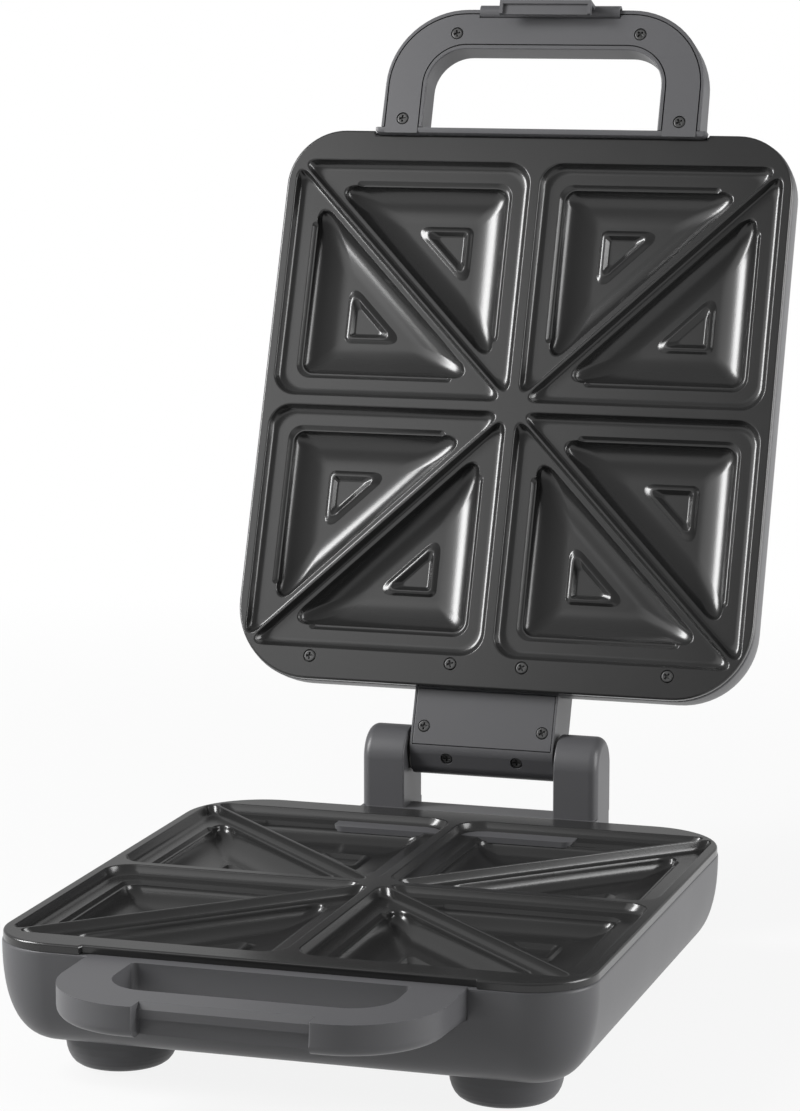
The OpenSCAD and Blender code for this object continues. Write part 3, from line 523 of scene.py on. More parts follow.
# The oxide skin of a blackened screw scatters light as well as reflecting it
black_screw = plain_metal("blackened_steel", "#3c3c3c", 0.38, 0.5, 0.35)
bright_sheet = plain_metal("tinned_sheet_steel", "#b8b6b0", 0.35, 0.8)
element_tube = plain_metal("heat_toned_steel_tube", "#7a736a", 0.5, 0.5)
ground_pin = plain_metal("ground_steel_pin", "#b4b4b6", 0.25, 0.3)
rubber = soft_rubber("moulded_rubber")
ceramic = pale_moulding("steatite", "#d9d2c2", "#cfc7b4", 0.35)
sleeve = pale_moulding("woven_glass_sleeve", "#cbc7b6", "#bcb8a6", 0.7)
bush_resin = pale_moulding("acetal_bush", "#c9c9c4", "#bdbdb8", 0.4)
red_lens = tinted_lens("red_polycarbonate", "#a01414")
green_lens = tinted_lens("green_polycarbonate", "#1c8c34")
lamp_glass = tinted_lens("neon_lamp_glass", "#e8c8a0")


# ---------------------------------------------------------------- cooking plates

CREST = BREAD_SIDE - 0.8 * math.sqrt(2)
FOOT = BREAD_SIDE - 3.5 * math.sqrt(2)
POCKET_LIMIT = BREAD_SIDE - 5.4 * math.sqrt(2)
STEP_NEAR = 10.4
STEP_FAR = 101.0
LEDGE_Z = -4.0
POCKET_SIDE = 13.4
POCKET_Z = -15.0
COVE_Z = -6.3
FLOOR_SIDE = 32.0
FLOOR_LIMIT = 107.5
BLOCK_R = 20.0
BLOCK_Z = -7.8
PLATE_SCREW_XS = (-100, -20, 20, 100)
SCREW_HOLE_R = 3.6
SCREW_SHANK_R = 1.9


def triangle_face(corner, limit, corner_r, tip_r, z):
    """Flat right triangle, left in edit mode.

    Its right angle is at (corner, corner), and x + y runs up to limit.
    """
    leg = limit - 2 * corner
    clear_selection()
    bpy.ops.mesh.primitive_plane_add(size=leg, location=(corner + leg / 2, corner + leg / 2, z))
    piece = bpy.context.object
    apply_place()
    edit(piece)
    choose("VERT", lambda x, y, zz, v: x + y > limit + 1)
    bpy.ops.mesh.delete(type="VERT")
    bpy.ops.mesh.select_all(action="SELECT")
    bpy.ops.mesh.edge_face_add()
    choose("VERT", lambda x, y, zz, v: x + y < 2 * corner + 0.01)
    round_corners(corner_r, 10)
    choose("VERT", lambda x, y, zz, v: max(x, y) > corner + leg - 0.01)
    # A bevel leaves a 45 degree tip sharper than a circle would, so it starts a fifth further back
    round_corners(1.2 * tip_r * (1 + math.sqrt(2)), 8)
    choose("FACE", lambda x, y, zz, f: True)
    return piece


def sink(levels):
    """Extrudes the chosen triangle through levels of (z, corner, limit). The first is where it lies."""
    z, corner, limit = levels[0]
    for next_z, next_corner, next_limit in levels[1:]:
        ratio = (next_limit - 2 * next_corner) / (limit - 2 * corner)
        shift = next_corner - corner
        pull(next_z - z)
        bpy.ops.transform.resize(value=(ratio, ratio, 1), center_override=(corner, corner, next_z))
        bpy.ops.transform.translate(value=(shift, shift, 0))
        z, corner, limit = next_z, next_corner, next_limit


def edge_round(radius, steps=4):
    """(depth, outward) steps of a rounded lip that turns from flat to upright."""
    turns = [math.pi / 2 * i / steps for i in range(steps + 1)]
    return [(radius * (1 - math.cos(a)), radius * (1 - math.sin(a))) for a in turns]


def trench_tool():
    """Crust ledge: a rounded lip, a steep slope and a wide soft foot that runs out into the ledge."""
    lip_r = 0.8
    start = (1.0, -lip_r, CREST + 0.6)
    piece = triangle_face(start[1], start[2], 13, 3.8, start[0])
    levels = [start]
    for depth, out in edge_round(lip_r):
        levels.append((-depth, -out, CREST + 0.75 * out))
    # Runs in from the lip, each with its depth
    slope = (
        (0.5, 1.9),
        (1.0, 2.9),
        (1.5, 3.7),
        (2.1, 4.25),
        (2.8, 4.62),
        (3.6, 4.85),
        (4.4, 4.96),
        (5.2, 5.0),
    )
    foot_run = slope[-1][0]
    for run, depth in slope:
        levels.append((-depth, run, CREST + (FOOT - CREST) * run / foot_run))
    sink(levels)
    return finished_tool(piece)


def step_tool():
    """Sloping step along both legs of the pocket, with rounded ends."""
    clear_selection()
    middle = (STEP_NEAR + STEP_FAR) / 2
    bpy.ops.mesh.primitive_plane_add(size=STEP_FAR - STEP_NEAR, location=(middle, middle, LEDGE_Z))
    piece = bpy.context.object
    apply_place()
    edit(piece)
    choose("FACE", lambda x, y, zz, f: True)
    bpy.ops.mesh.bisect(plane_co=(60, 60, LEDGE_Z), plane_no=(1, 1, 0), clear_outer=True)
    choose("VERT", lambda x, y, zz, v: x + y < 2 * STEP_NEAR + 0.01)
    round_corners(8, 8)
    choose("VERT", lambda x, y, zz, v: max(x, y) > STEP_FAR - 0.01 and min(x, y) < STEP_NEAR + 0.01)
    round_corners(2.2, 6)
    choose("FACE", lambda x, y, zz, f: True)
    pull(-1.0)
    reach = middle - STEP_NEAR
    for depth, run in ((0.08, 0.25), (0.35, 0.3), (0.9, 1.1), (0.25, 0.4), (0.07, 0.4)):
        pull(-depth)
        ratio = 1 - run / reach
        bpy.ops.transform.resize(value=(ratio, ratio, 1), center_override=(middle, middle, 0))
    return finished_tool(piece)


def pocket_tool():
    """Filling pocket: walls that drop steeply and cove out to a small flat floor."""
    mouth_side, mouth_limit = POCKET_SIDE - 0.6, POCKET_LIMIT + 0.5
    piece = triangle_face(mouth_side, mouth_limit, 6.5, 5.0, LEDGE_Z)
    levels = [
        (LEDGE_Z, mouth_side, mouth_limit),
        (-5.0, mouth_side, mouth_limit),
        (-5.1, POCKET_SIDE - 0.5, POCKET_LIMIT + 0.1),
        (-5.5, POCKET_SIDE - 0.2, POCKET_LIMIT - 0.3),
        (COVE_Z, POCKET_SIDE, POCKET_LIMIT - 0.6),
    ]
    run_in = FLOOR_SIDE - POCKET_SIDE
    run_back = POCKET_LIMIT - 0.6 - FLOOR_LIMIT
    steps = 16
    for i in range(1, steps + 1):
        turn = math.pi / 2 * i / steps
        share = 1 - math.cos(turn)
        fall = (POCKET_Z - COVE_Z) * math.sin(turn)
        levels.append((COVE_Z + fall, POCKET_SIDE + run_in * share, POCKET_LIMIT - 0.6 - run_back * share))
    sink(levels)
    return finished_tool(piece)


def collar_tool():
    """Raised triangular collar on the pocket floor."""
    foot_side, foot_limit = 33.4, 103.2
    piece = triangle_face(foot_side, foot_limit, 3.8, 4.0, POCKET_Z - 1.0)
    sink(
        [
            (POCKET_Z - 1.0, foot_side, foot_limit),
            (POCKET_Z + 0.05, foot_side, foot_limit),
            (POCKET_Z + 0.25, 33.8, 102.3),
            (POCKET_Z + 1.0, 34.6, 100.6),
            (POCKET_Z + 1.35, 35.2, 99.5),
            (POCKET_Z + 1.45, 36.0, 98.2),
        ]
    )
    return finished_tool(piece)


def collar_hollow_tool():
    """Sunk triangle inside the collar."""
    brim_side, brim_limit = 36.5, 98.6
    piece = triangle_face(brim_side, brim_limit, 2.0, 2.0, POCKET_Z + 2.4)
    sink(
        [
            (POCKET_Z + 2.4, brim_side, brim_limit),
            (POCKET_Z + 1.45, brim_side, brim_limit),
            (POCKET_Z + 1.3, 36.8, 98.0),
            (POCKET_Z - 0.4, 38.4, 95.2),
            (POCKET_Z - 0.75, 38.9, 94.3),
            (POCKET_Z - 0.85, 39.4, 93.4),
        ]
    )
    return finished_tool(piece)


def cup_tool():
    """Underside of one pocket."""
    piece = triangle_face(10.6, BREAD_SIDE - 4, 9, 3, -4.5)
    sink([(-4.5, 10.6, 131.5), (-8.0, 11.0, 131.0), (-14.0, 14.5, 126.0), (-19.4, 23.6, 117.3)])
    return finished_tool(piece)


def eight_times(tool):
    """Sets a tool drawn from a recess's right-angled corner into all eight halves."""
    copies = []
    for sx in (1, -1):
        for sy in (1, -1):
            for swap in (False, True):
                other = twin(tool)
                edit(other)
                bpy.ops.mesh.select_all(action="SELECT")
                bpy.ops.transform.resize(value=(-1, 1, 1), center_override=(0, 0, 0))
                bpy.ops.transform.translate(value=(RECESS_REACH, HALF_BAR, 0))
                if swap:
                    bpy.ops.transform.resize(value=(1, -1, 1), center_override=(0, 0, 0))
                    bpy.ops.transform.rotate(value=-math.pi / 2, orient_axis="Z", center_override=(0, 0, 0))
                bpy.ops.transform.resize(value=(sx, sy, 1), center_override=(0, 0, 0))
                bpy.ops.mesh.normals_make_consistent(inside=False)
                leave_edit()
                copies.append(other)
    remove(tool)
    return joined(copies)


def plate_slab():
    """Flat edge of a plate with its rounded lip, its front edge set back in the middle."""
    slab = flat_outline(PLATE_HX, PLATE_HY, PLATE_HY, PLATE_FRONT_R, PLATE_BACK_R, -PLATE_EDGE, 16)
    choose("EDGE", lambda x, y, z, e: y < 0.001 - PLATE_HY)
    bpy.ops.mesh.subdivide(number_cuts=2)
    choose("VERT", lambda x, y, z, v: y < 0.001 - PLATE_HY and abs(x) < 60)
    spread = SETBACK_HX / ((PLATE_HX - PLATE_FRONT_R) / 3)
    bpy.ops.transform.resize(value=(spread, 1, 1), center_override=(0, 0, 0))
    round_corners(0.6, 1)
    choose("VERT", lambda x, y, z, v: y < 0.001 - PLATE_HY and abs(x) < SETBACK_HX)
    bpy.ops.transform.translate(value=(0, SETBACK, 0))
    choose("FACE", lambda x, y, z, f: True)
    lip_r = 1.2
    pull(PLATE_EDGE - lip_r)
    lip = edge_round(lip_r, 5)[::-1]
    for (depth, far), (next_depth, next_far) in zip(lip, lip[1:]):
        inset(next_far - far, depth - next_depth)
    return finished_tool(slab)


def cast_plate():
    """One cooking plate, rim upwards at z = 0."""
    plate = plate_slab()
    reach = RECESS_REACH + 1.5
    back = flat_outline(reach, reach, reach, BLOCK_R, BLOCK_R, BLOCK_Z, 10)
    pull(5.3)
    weld(plate, finished_tool(back))
    weld(plate, eight_times(cup_tool()))
    for tool in (trench_tool(), step_tool(), pocket_tool()):
        cut(plate, eight_times(tool))
    weld(plate, eight_times(collar_tool()))
    cut(plate, eight_times(collar_hollow_tool()))
    return plate


base_plate = cast_plate()
lid_plate = turned_over(twin(base_plate))
for screw_x in PLATE_SCREW_XS:
    cut(lid_plate, rod(SCREW_HOLE_R, 3.0, (screw_x, SCREW_ROW_Y, RIM_GAP + 0.1), sides=32))
    cut(lid_plate, rod(SCREW_SHANK_R, 12.0, (screw_x, SCREW_ROW_Y, RIM_GAP + 3), sides=24))
finish(base_plate, "lower_cooking_plate", "base", coating, 32, ["base_plate"])
finish(lid_plate, "upper_cooking_plate", "lid", coating, 32, ["lid_plate"])


# ---------------------------------------------------------------- casings

BRIDGE_HX = POST_IN + POST_W
BRIDGE_BACK = HINGE_Y + POST_R
BRIDGE_EDGE_R = 18.0
FIT = 0.15
PLATE_POSTS = ((105, 0), (-105, 0), (0, 105), (0, -105))
PLATE_POST_R = 5.0
PLATE_SCREW_R = 3.8
CORD_X = 84.0
CORD_Z = -30.0
CORD_HOLE_R = 6.0
LENS_X = 14.0
LENS_R = 4.1
LENS_FROM_EDGE = 42.0


def draw_in(share):
    """How far the sides have drawn in at a share of the casing's depth."""
    return SIDE_DRAW * (1 - (1 - share**SIDE_POWER) ** (1 / SIDE_POWER))


def casing_shell(depth):
    """Casing with its mouth upwards at the plate's lower edge, and sides that draw in to its bottom."""
    seat = -PLATE_EDGE
    shoulder = [(0.0, 1.0), (0.2, 0.5), (0.6, 0.15), (1.4, 0.0)]
    hx, hy = CASING_HX - 1.0, CASING_HY - 1.0
    shell = flat_outline(hx, hy, hy, PLATE_FRONT_R - 0.7, PLATE_BACK_R - 0.7, seat, 16)
    bpy.ops.mesh.flip_normals()
    z = 0.0
    for down, narrow in shoulder[1:]:
        pull(z - down)
        wider = (CASING_HX - narrow) / hx, (CASING_HY - narrow) / hy
        bpy.ops.transform.resize(value=(*wider, 1), center_override=(0, 0, 0))
        hx, hy, z = CASING_HX - narrow, CASING_HY - narrow, down
    pull(-0.2)
    z += 0.2
    done = 0.0
    steps = 20
    for i in range(1, steps + 1):
        share = math.sin(math.pi / 2 * i / steps)
        down = max(z + 0.02, share * depth)
        inset(draw_in(share) - done, down - z)
        done, z = draw_in(share), down
    outward()
    choose("FACE", lambda x, y, zz, f: zz > seat - 0.001 and f.normal.z > 0.9)
    bpy.ops.mesh.delete(type="FACE")
    leave_edit()
    use_modifier(shell, "SOLIDIFY", thickness=CASING_T, offset=-1, use_even_offset=True, use_rim=True)
    return shell


def rounded_bar(low, high, corner_r, bottom_r):
    """Box with rounded upright corners and a rounded bottom edge."""
    bar = block(low, high)
    edit(bar)
    choose("EDGE", lambda x, y, z, e: abs(z - (low[2] + high[2]) / 2) < 0.01)
    round_edges(corner_r, 8)
    choose("EDGE", lambda x, y, z, e: z < low[2] + 0.001)
    round_edges(bottom_r, 6)
    return finished_tool(bar)


def hinge_bridge():
    """Block that carries the hinge posts. Between them its deck rolls over into the back wall."""
    bridge = rounded_bar((-BRIDGE_HX, 124, BASE_BOTTOM), (BRIDGE_HX, BRIDGE_BACK, DECK_Z), 6, 5)
    back, top = BRIDGE_BACK - BRIDGE_EDGE_R, DECK_Z - BRIDGE_EDGE_R
    roll = block((-POST_IN, back, top), (POST_IN, BRIDGE_BACK + 1, DECK_Z + 1))
    cut(roll, rod(BRIDGE_EDGE_R, 2 * POST_IN + 2, (0, back, top), "X", 96))
    return cut(bridge, roll)


def lower_casing():
    casing = casing_shell(BASE_DEPTH)
    weld(casing, hinge_bridge())
    # The bridge is hollow
    hollow_hx = BRIDGE_HX - CASING_T
    cut(
        casing,
        block(
            (-hollow_hx, 116, BASE_BOTTOM + CASING_T),
            (hollow_hx, BRIDGE_BACK - CASING_T - 10, DECK_Z - 3),
        ),
    )
    # Ledge under the plate's set-back edge
    ledge_hx, ledge_top = SETBACK_HX + 1, -PLATE_EDGE - 0.05
    weld(casing, block((-ledge_hx, -CASING_HY + 1.2, -8), (ledge_hx, -CASING_HY + 8, ledge_top)))
    # Posts that the plate is screwed down to
    height = -8.0 - BASE_BOTTOM
    for x, y in PLATE_POSTS:
        weld(casing, rod(PLATE_POST_R, height, (x, y, (BASE_BOTTOM - 6.0) / 2), sides=32))
    # Pocket for the handle's root
    slot_hx = HANDLE_HX + 0.1
    slot_floor = HANDLE_TOP_Z - LOW_HANDLE_H - FIT
    cut(casing, block((-slot_hx, -170, slot_floor), (slot_hx, -LOW_ROOT + 0.1, 0)))
    # Boss and hole for the cord bush
    weld(casing, rod(9.5, 9.9, (CORD_X, CASING_HY - 5.5, CORD_Z), "Y", 48))
    cut(casing, rod(CORD_HOLE_R, 60, (CORD_X, CASING_HY - 10, CORD_Z), "Y", 48))
    for x, y in PLATE_POSTS:
        cut(casing, rod(PLATE_SCREW_R, 20, (x, y, BASE_BOTTOM), sides=32))
    return casing


def upper_casing():
    casing = casing_shell(LID_DEPTH)
    for side in (-1, 1):
        place = (side * LENS_X, -(CASING_HY - LENS_FROM_EDGE), -PLATE_EDGE - LID_DEPTH)
        cut(casing, rod(LENS_R, 12, place, sides=32))
    turned_over(casing)
    # Openings for the arm and for the two feet of the handle
    slot_hx = ARM_HX + FIT
    cut(casing, block((-slot_hx, 120, ARM_FACE - FIT), (slot_hx, 170, ARM_FACE + ARM_T + FIT)))
    for side in (-1, 1):
        low_x, high_x = sorted((side * (HOLE_HX - 0.1), side * (HANDLE_HX + 0.1)))
        cut(casing, block((low_x, -170, -5), (high_x, -140, TOP_FACE_Z + TOP_HANDLE_H + FIT)))
    return casing


finish(lower_casing(), "lower_casing", "base", casing_plastic, 30, ["base_housing"])
finish(upper_casing(), "upper_casing", "lid", casing_plastic, 30, ["lid_housing"])


# ---------------------------------------------------------------- hinge

BARREL_SLOPE = math.radians(39)
BARREL_SCREW_X = 19.5
BARREL_SUNK = 2.4
ARM_SCREW_X = 33.0
ARM_SCREW_Y = HINGE_Y - 14.5


def hinge_post(side):
    """Post that stands on the bridge: round over the hinge axis, with a soft outer edge."""
    outer, top = POST_IN + POST_W, HINGE_Z + POST_R
    post = block((POST_IN, HINGE_Y - POST_R, DECK_Z), (outer, HINGE_Y + POST_R, top))
    edit(post)
    choose("EDGE", lambda x, y, z, e: z > top - 0.001 and abs(e.verts[0].co.x - e.verts[1].co.x) > 1)
    round_edges(POST_R - 0.02, 24)
    choose("EDGE", lambda x, y, z, e: x > outer - 0.001 and z > DECK_Z + 0.01)
    round_edges(5.0, 8)
    choose("EDGE", lambda x, y, z, e: x < POST_IN + 0.001 and z > DECK_Z + 0.01)
    round_edges(1.0, 3)
    finished_tool(post)
    cut(post, rod(3.06, 30, (POST_IN, HINGE_Y, HINGE_Z), "X", 40))
    return post if side > 0 else mirrored(post, (-1, 1, 1))


def arm_profile():
    """Side outline of the arm in the plane x = 0: (y, z, corner radius as the bevel's offset)."""
    root, end = RECESS_REACH + 2.1, HINGE_Y + BARREL_R
    top = ARM_FACE + ARM_T
    slope = math.radians(39.1)
    low_z = HINGE_Z - BARREL_R * math.tan((math.pi / 2 - slope) / 2)
    low_y = end - (low_z - ARM_FACE) / math.tan(slope)
    roof = math.radians(20.4)
    high_z = HINGE_Z + BARREL_R * math.tan((math.pi / 2 - roof) / 2)
    high_y = end - (top - high_z) / math.tan(roof)
    return [
        (root, ARM_FACE, 0),
        (low_y, ARM_FACE, 2.84),
        (end, low_z, 4.3),
        (end, high_z, 6.3),
        (high_y, top, 1.44),
        (root, top, 0),
    ]


def lid_arm():
    """Wide arm from the lid, with its round end on the hinge axis and a shallow bed for its cover."""
    corners = arm_profile()
    clear_selection()
    bpy.ops.mesh.primitive_circle_add(vertices=len(corners), radius=10, fill_type="NGON")
    arm = bpy.context.object
    for vertex, (y, z, offset) in zip(arm.data.vertices, corners):
        vertex.co = (-ARM_HX, y, z)
    edit(arm)
    for y, z, offset in corners:
        if offset:
            choose("VERT", lambda vx, vy, vz, v: math.hypot(vy - y, vz - z) < 0.01)
            round_corners(offset, 12)
    choose("FACE", lambda x, y, z, f: True)
    bpy.ops.mesh.extrude_region_move(TRANSFORM_OT_translate={"value": (2 * ARM_HX, 0, 0)})
    finished_tool(arm)
    bed_hx = ARM_HX - 1.2
    cut(arm, block((-bed_hx, CASING_HY + 0.2, ARM_FACE - 1), (bed_hx, HINGE_Y - 4.3, ARM_FACE + COVER_T)))
    soften(arm, 0.8, 3, 50)
    cut(arm, rod(5.5, 90, (0, HINGE_Y, HINGE_Z), "X", 40))
    for side in (-1, 1):
        cut(arm, on_barrel(rod(3.4, 2 * BARREL_SUNK, (0, 0, 0), sides=32), side, 0))
    return arm


def on_barrel(piece, side, depth):
    """Moves a piece drawn upright at the origin to the flat under the barrel, sunk by a depth."""
    select_only(piece)
    piece.location = (side * BARREL_SCREW_X, 4.5, BARREL_R - depth)
    apply_place()
    piece.rotation_euler = (math.pi + BARREL_SLOPE, 0, 0)
    apply_place()
    piece.location = (0, HINGE_Y, HINGE_Z)
    apply_place()
    return piece


def arm_face_cover():
    """Flat plate over the arm's hollow, held by two screws."""
    cover_hx = ARM_HX - 1.4
    cover = block((-cover_hx, CASING_HY + 0.4, ARM_FACE), (cover_hx, HINGE_Y - 4.6, ARM_FACE + COVER_T))
    soften(cover, 0.4, 3, 50)
    for side in (-1, 1):
        cut(cover, rod(3.4, 2.8, (side * ARM_SCREW_X, ARM_SCREW_Y, ARM_FACE), sides=32))
    return cover


for side, name in ((-1, "left"), (1, "right")):
    post_name, replaced = name + "_hinge_post", "hinge_post_" + name
    finish(hinge_post(side), post_name, "base", casing_plastic, 30, [replaced])
finish(lid_arm(), "lid_hinge_arm", "lid", casing_plastic, 30, ["hinge_arm"])
finish(arm_face_cover(), "arm_face_cover", "lid", casing_plastic, 30, ["arm_cover"])


# ---------------------------------------------------------------- handles

NOTCH_HX = CLIP_HX + 1
SLOT_HX = CLIP_HX + 0.5
TOP_FRONT_IN = 3.0
COVER_SCREWS = [
    (side * x, -y)
    for side in (-1, 1)
    for x, y in ((HANDLE_HX - 12, PLATE_HY + 6), (HANDLE_HX - 38.5, HANDLE_FRONT - 17))
]


def bow(side_in, front_in, hole_out, root, hole_root, low_z, high_z):
    """Bow handle as a flat ring, inside the handles' outline by side_in and front_in.

    Its hole is wider by hole_out. It is open to the root when hole_root is behind it.
    """
    side, front, corner_r = HANDLE_HX - side_in, HANDLE_FRONT - front_in, HANDLE_R - side_in
    ring = flat_outline(side, front, -root, corner_r, 0.5, low_z, 16)
    pull(high_z - low_z)
    finished_tool(ring)
    side, front, corner_r = HOLE_HX + hole_out, HOLE_FRONT + hole_out, HOLE_R + hole_out
    back_r = 3 if hole_root > root else 0.5
    hole = flat_outline(side, front, -hole_root, corner_r, back_r, low_z - 5, 14)
    pull(high_z - low_z + 10)
    finished_tool(hole)
    return cut(ring, hole)


def on_outer_side(x, y):
    """True on the handle's outer outline, away from its root, and false on the hole's."""
    return y < -PLATE_HY - 2 and not (abs(x) < HOLE_HX + 1 and y > -HOLE_FRONT - 1)


def lower_handle():
    """Bow with a round underside, and a notch with a catch for the clip."""
    underside = HANDLE_TOP_Z - LOW_HANDLE_H
    handle = bow(0, 0, 0, LOW_ROOT, HOLE_ROOT, underside, HANDLE_TOP_Z)
    edit(handle)
    choose("EDGE", lambda x, y, z, e: z < underside + 0.001 and on_outer_side(x, y))
    round_edges(5.0, 6)
    leave_edit()
    cut(
        handle,
        block((-NOTCH_HX, -HANDLE_FRONT - 5, -40), (NOTCH_HX, -HANDLE_FRONT + NOTCH_DEPTH, 10)),
    )
    # The notch's walls open out towards the front
    edit(handle)
    choose(
        "EDGE",
        lambda x, y, z, e: abs(abs(x) - NOTCH_HX) < 0.01
        and y < -HANDLE_FRONT + 1
        and abs(e.verts[0].co.z - e.verts[1].co.z) > 3,
    )
    round_edges(1.8, 2)
    leave_edit()
    weld(handle, catch())
    return soften(handle, 0.9, 3, 40)


def catch():
    """Bar across the notch that the clip's hook goes under, with a sloping lead-in."""
    front = -HANDLE_FRONT + 7
    bar = block(
        (-NOTCH_HX - 0.2, front, HANDLE_TOP_Z - 7),
        (NOTCH_HX + 0.2, front + 3.2, HANDLE_TOP_Z),
    )
    edit(bar)
    choose("EDGE", lambda x, y, z, e: y < front + 0.01 and z > HANDLE_TOP_Z - 0.01)
    round_edges(2.9, 1)
    leave_edit()
    return bar


def upper_handle_shell():
    """Outer shell of the lid's handle, with a bed for its inner cover and a slot for the clip."""
    top = TOP_FACE_Z + TOP_HANDLE_H
    shell = bow(0, TOP_FRONT_IN, 0, PLATE_HY - 4, PLATE_HY - 12, TOP_FACE_Z, top)
    edit(shell)
    choose("EDGE", lambda x, y, z, e: z > top - 0.001 and y < -PLATE_HY + 3)
    round_edges(4.5, 6)
    choose("EDGE", lambda x, y, z, e: z < TOP_FACE_Z + 0.001 and y < -PLATE_HY - 1.5)
    round_edges(0.8, 3)
    leave_edit()
    cut(shell, bow(1.6, 5.2, 2.2, PLATE_HY - 20, PLATE_HY - 30, TOP_FACE_Z - 1, TOP_FACE_Z + COVER_T))
    low = TOP_FACE_Z - 2
    cut(
        shell,
        # Room for the lip of the cover, and for the plate's edge behind it
        block((-200, -PLATE_HY - 1.3, low), (200, -100, RIM_GAP + 1.6)),
        block((-200, -PLATE_HY + SETBACK, low), (200, -100, 9)),
        # Slot for the clip
        rod(CLIP_R + 0.35, 2 * CLIP_HX + 1, (0, CLIP_Y, CLIP_Z), "X", 48),
        block((-SLOT_HX, -HANDLE_FRONT - 5, low), (SLOT_HX, CLIP_Y, CLIP_Z + CLIP_R - 0.6)),
        block((-SLOT_HX, CLIP_Y - 0.1, low), (SLOT_HX, CLIP_Y + CLIP_R + 0.35, CLIP_Z)),
    )
    return soften(shell, 0.45, 2, 50)


def cover_lip():
    """Lip along the plate's set-back edge: its ends taper, and its face slopes back to the plate."""
    edge, low, half = -PLATE_HY + SETBACK - 0.2, TOP_FACE_Z + 0.3, SETBACK_HX - 0.3
    lip = block((-half, -PLATE_HY - 1, low), (half, edge, RIM_GAP + 1.5))
    edit(lip)
    choose("EDGE", lambda x, y, z, e: abs(x) > SETBACK_HX - 1 and y > edge - 0.01 and abs(z) < 2.5)
    round_edges(2.8, 5)
    choose("EDGE", lambda x, y, z, e: y > -PLATE_HY - 0.9 and z < low + 0.01)
    round_edges(1.9, 2)
    leave_edit()
    return lip


def upper_handle_cover():
    """Inner cover of the lid's handle, held by four screws."""
    cover = bow(2.3, 5.9, 2.9, PLATE_HY - 2.3, PLATE_HY - 12, TOP_FACE_Z, TOP_FACE_Z + COVER_T)
    cut(
        cover,
        block((-SLOT_HX, CLIP_Y - 6, TOP_FACE_Z - 2), (SLOT_HX, CLIP_Y + CLIP_R + 0.35, TOP_FACE_Z + 5)),
    )
    weld(cover, cover_lip())
    soften(cover, 0.35, 2, 50)
    for x, y in COVER_SCREWS:
        cut(cover, rod(3.55, 3.2, (x, y, TOP_FACE_Z), sides=32))
    return cover


for draw, name, body, replaced in (
    (lower_handle, "lower_handle", "base", "base_handle"),
    (upper_handle_shell, "upper_handle_shell", "lid", "lid_handle_shell"),
    (upper_handle_cover, "upper_handle_cover", "lid", "lid_handle_cover"),
):
    finish(draw(), name, body, handle_plastic, 30, [replaced])


# ---------------------------------------------------------------- latch clip


def clip():
    """Clip with a round back on its pin, a flap and a hooked end between two cheeks."""
    face = HANDLE_FRONT - 1.5
    inner = HANDLE_FRONT - NOTCH_DEPTH + 0.6
    end = HANDLE_TOP_Z - 11
    hook = HANDLE_TOP_Z - 7.5
    piece = rod(CLIP_R, 2 * CLIP_HX, (0, CLIP_Y, CLIP_Z), "X", 48)
    weld(piece, block((-FLAP_HX, -face, end), (FLAP_HX, -face + 2.2, CLIP_Z)))
    for side in (-1, 1):
        low_x, high_x = sorted((side * FLAP_HX, side * (FLAP_HX - 1.8)))
        weld(piece, block((low_x, -face, end), (high_x, -inner, hook)))
    weld(piece, block((-FLAP_HX, -face, hook - 1.8), (FLAP_HX, -inner, hook)))
    soften(piece, 0.45, 3, 50)
    # The back's ends are hollow round the pin
    for side in (-1, 1):
        near, far = side * (FLAP_HX + 3), side * (CLIP_HX + 1)
        cut(piece, rod(CLIP_R - 1.3, abs(far - near), ((near + far) / 2, CLIP_Y, CLIP_Z), "X", 32))
    cut(piece, rod(1.3, 2 * CLIP_HX + 4, (0, CLIP_Y, CLIP_Z), "X", 24))
    return piece


finish(clip(), "latch_hook_clip", "latch", handle_plastic, 35, ["latch_clip"])


# ---------------------------------------------------------------- screws


def cross_screw(head_r, head_h):
    """Pan-head screw with a cross recess, head upwards from z = 0."""
    screw = rod(head_r, head_h, (0, 0, head_h / 2), sides=40)
    edit(screw)
    choose("EDGE", lambda x, y, z, e: z > head_h - 0.001)
    round_edges(min(0.8, head_h * 0.6), 5)
    leave_edit()
    wide, thin, recess = head_r * 0.6, head_r * 0.17, head_h - 1.2
    cut(screw, block((-wide, -thin, recess), (wide, thin, head_h + 1)))
    cut(screw, block((-thin, -wide, recess), (thin, wide, head_h + 1)))
    soften(screw, 0.12, 2, 50)
    weld(screw, rod(1.45, 9, (0, 0, -4.4), sides=20))
    return screw


def placed(screw, x, y, z, spin):
    """A copy of the screw with its head at a place, turned over."""
    other = twin(screw)
    other.rotation_euler = (0, 0, spin)
    apply_place()
    other.rotation_euler = (math.pi, 0, 0)
    other.location = (x, y, z)
    apply_place()
    return other


def screw_set(screw, name, places, replaced):
    """Finishes one set of screws of the lid. Places are (x, y, z, spin)."""
    pieces = [placed(screw, *place) for place in places]
    finish(joined(pieces), name, "lid", black_screw, 35, [replaced])


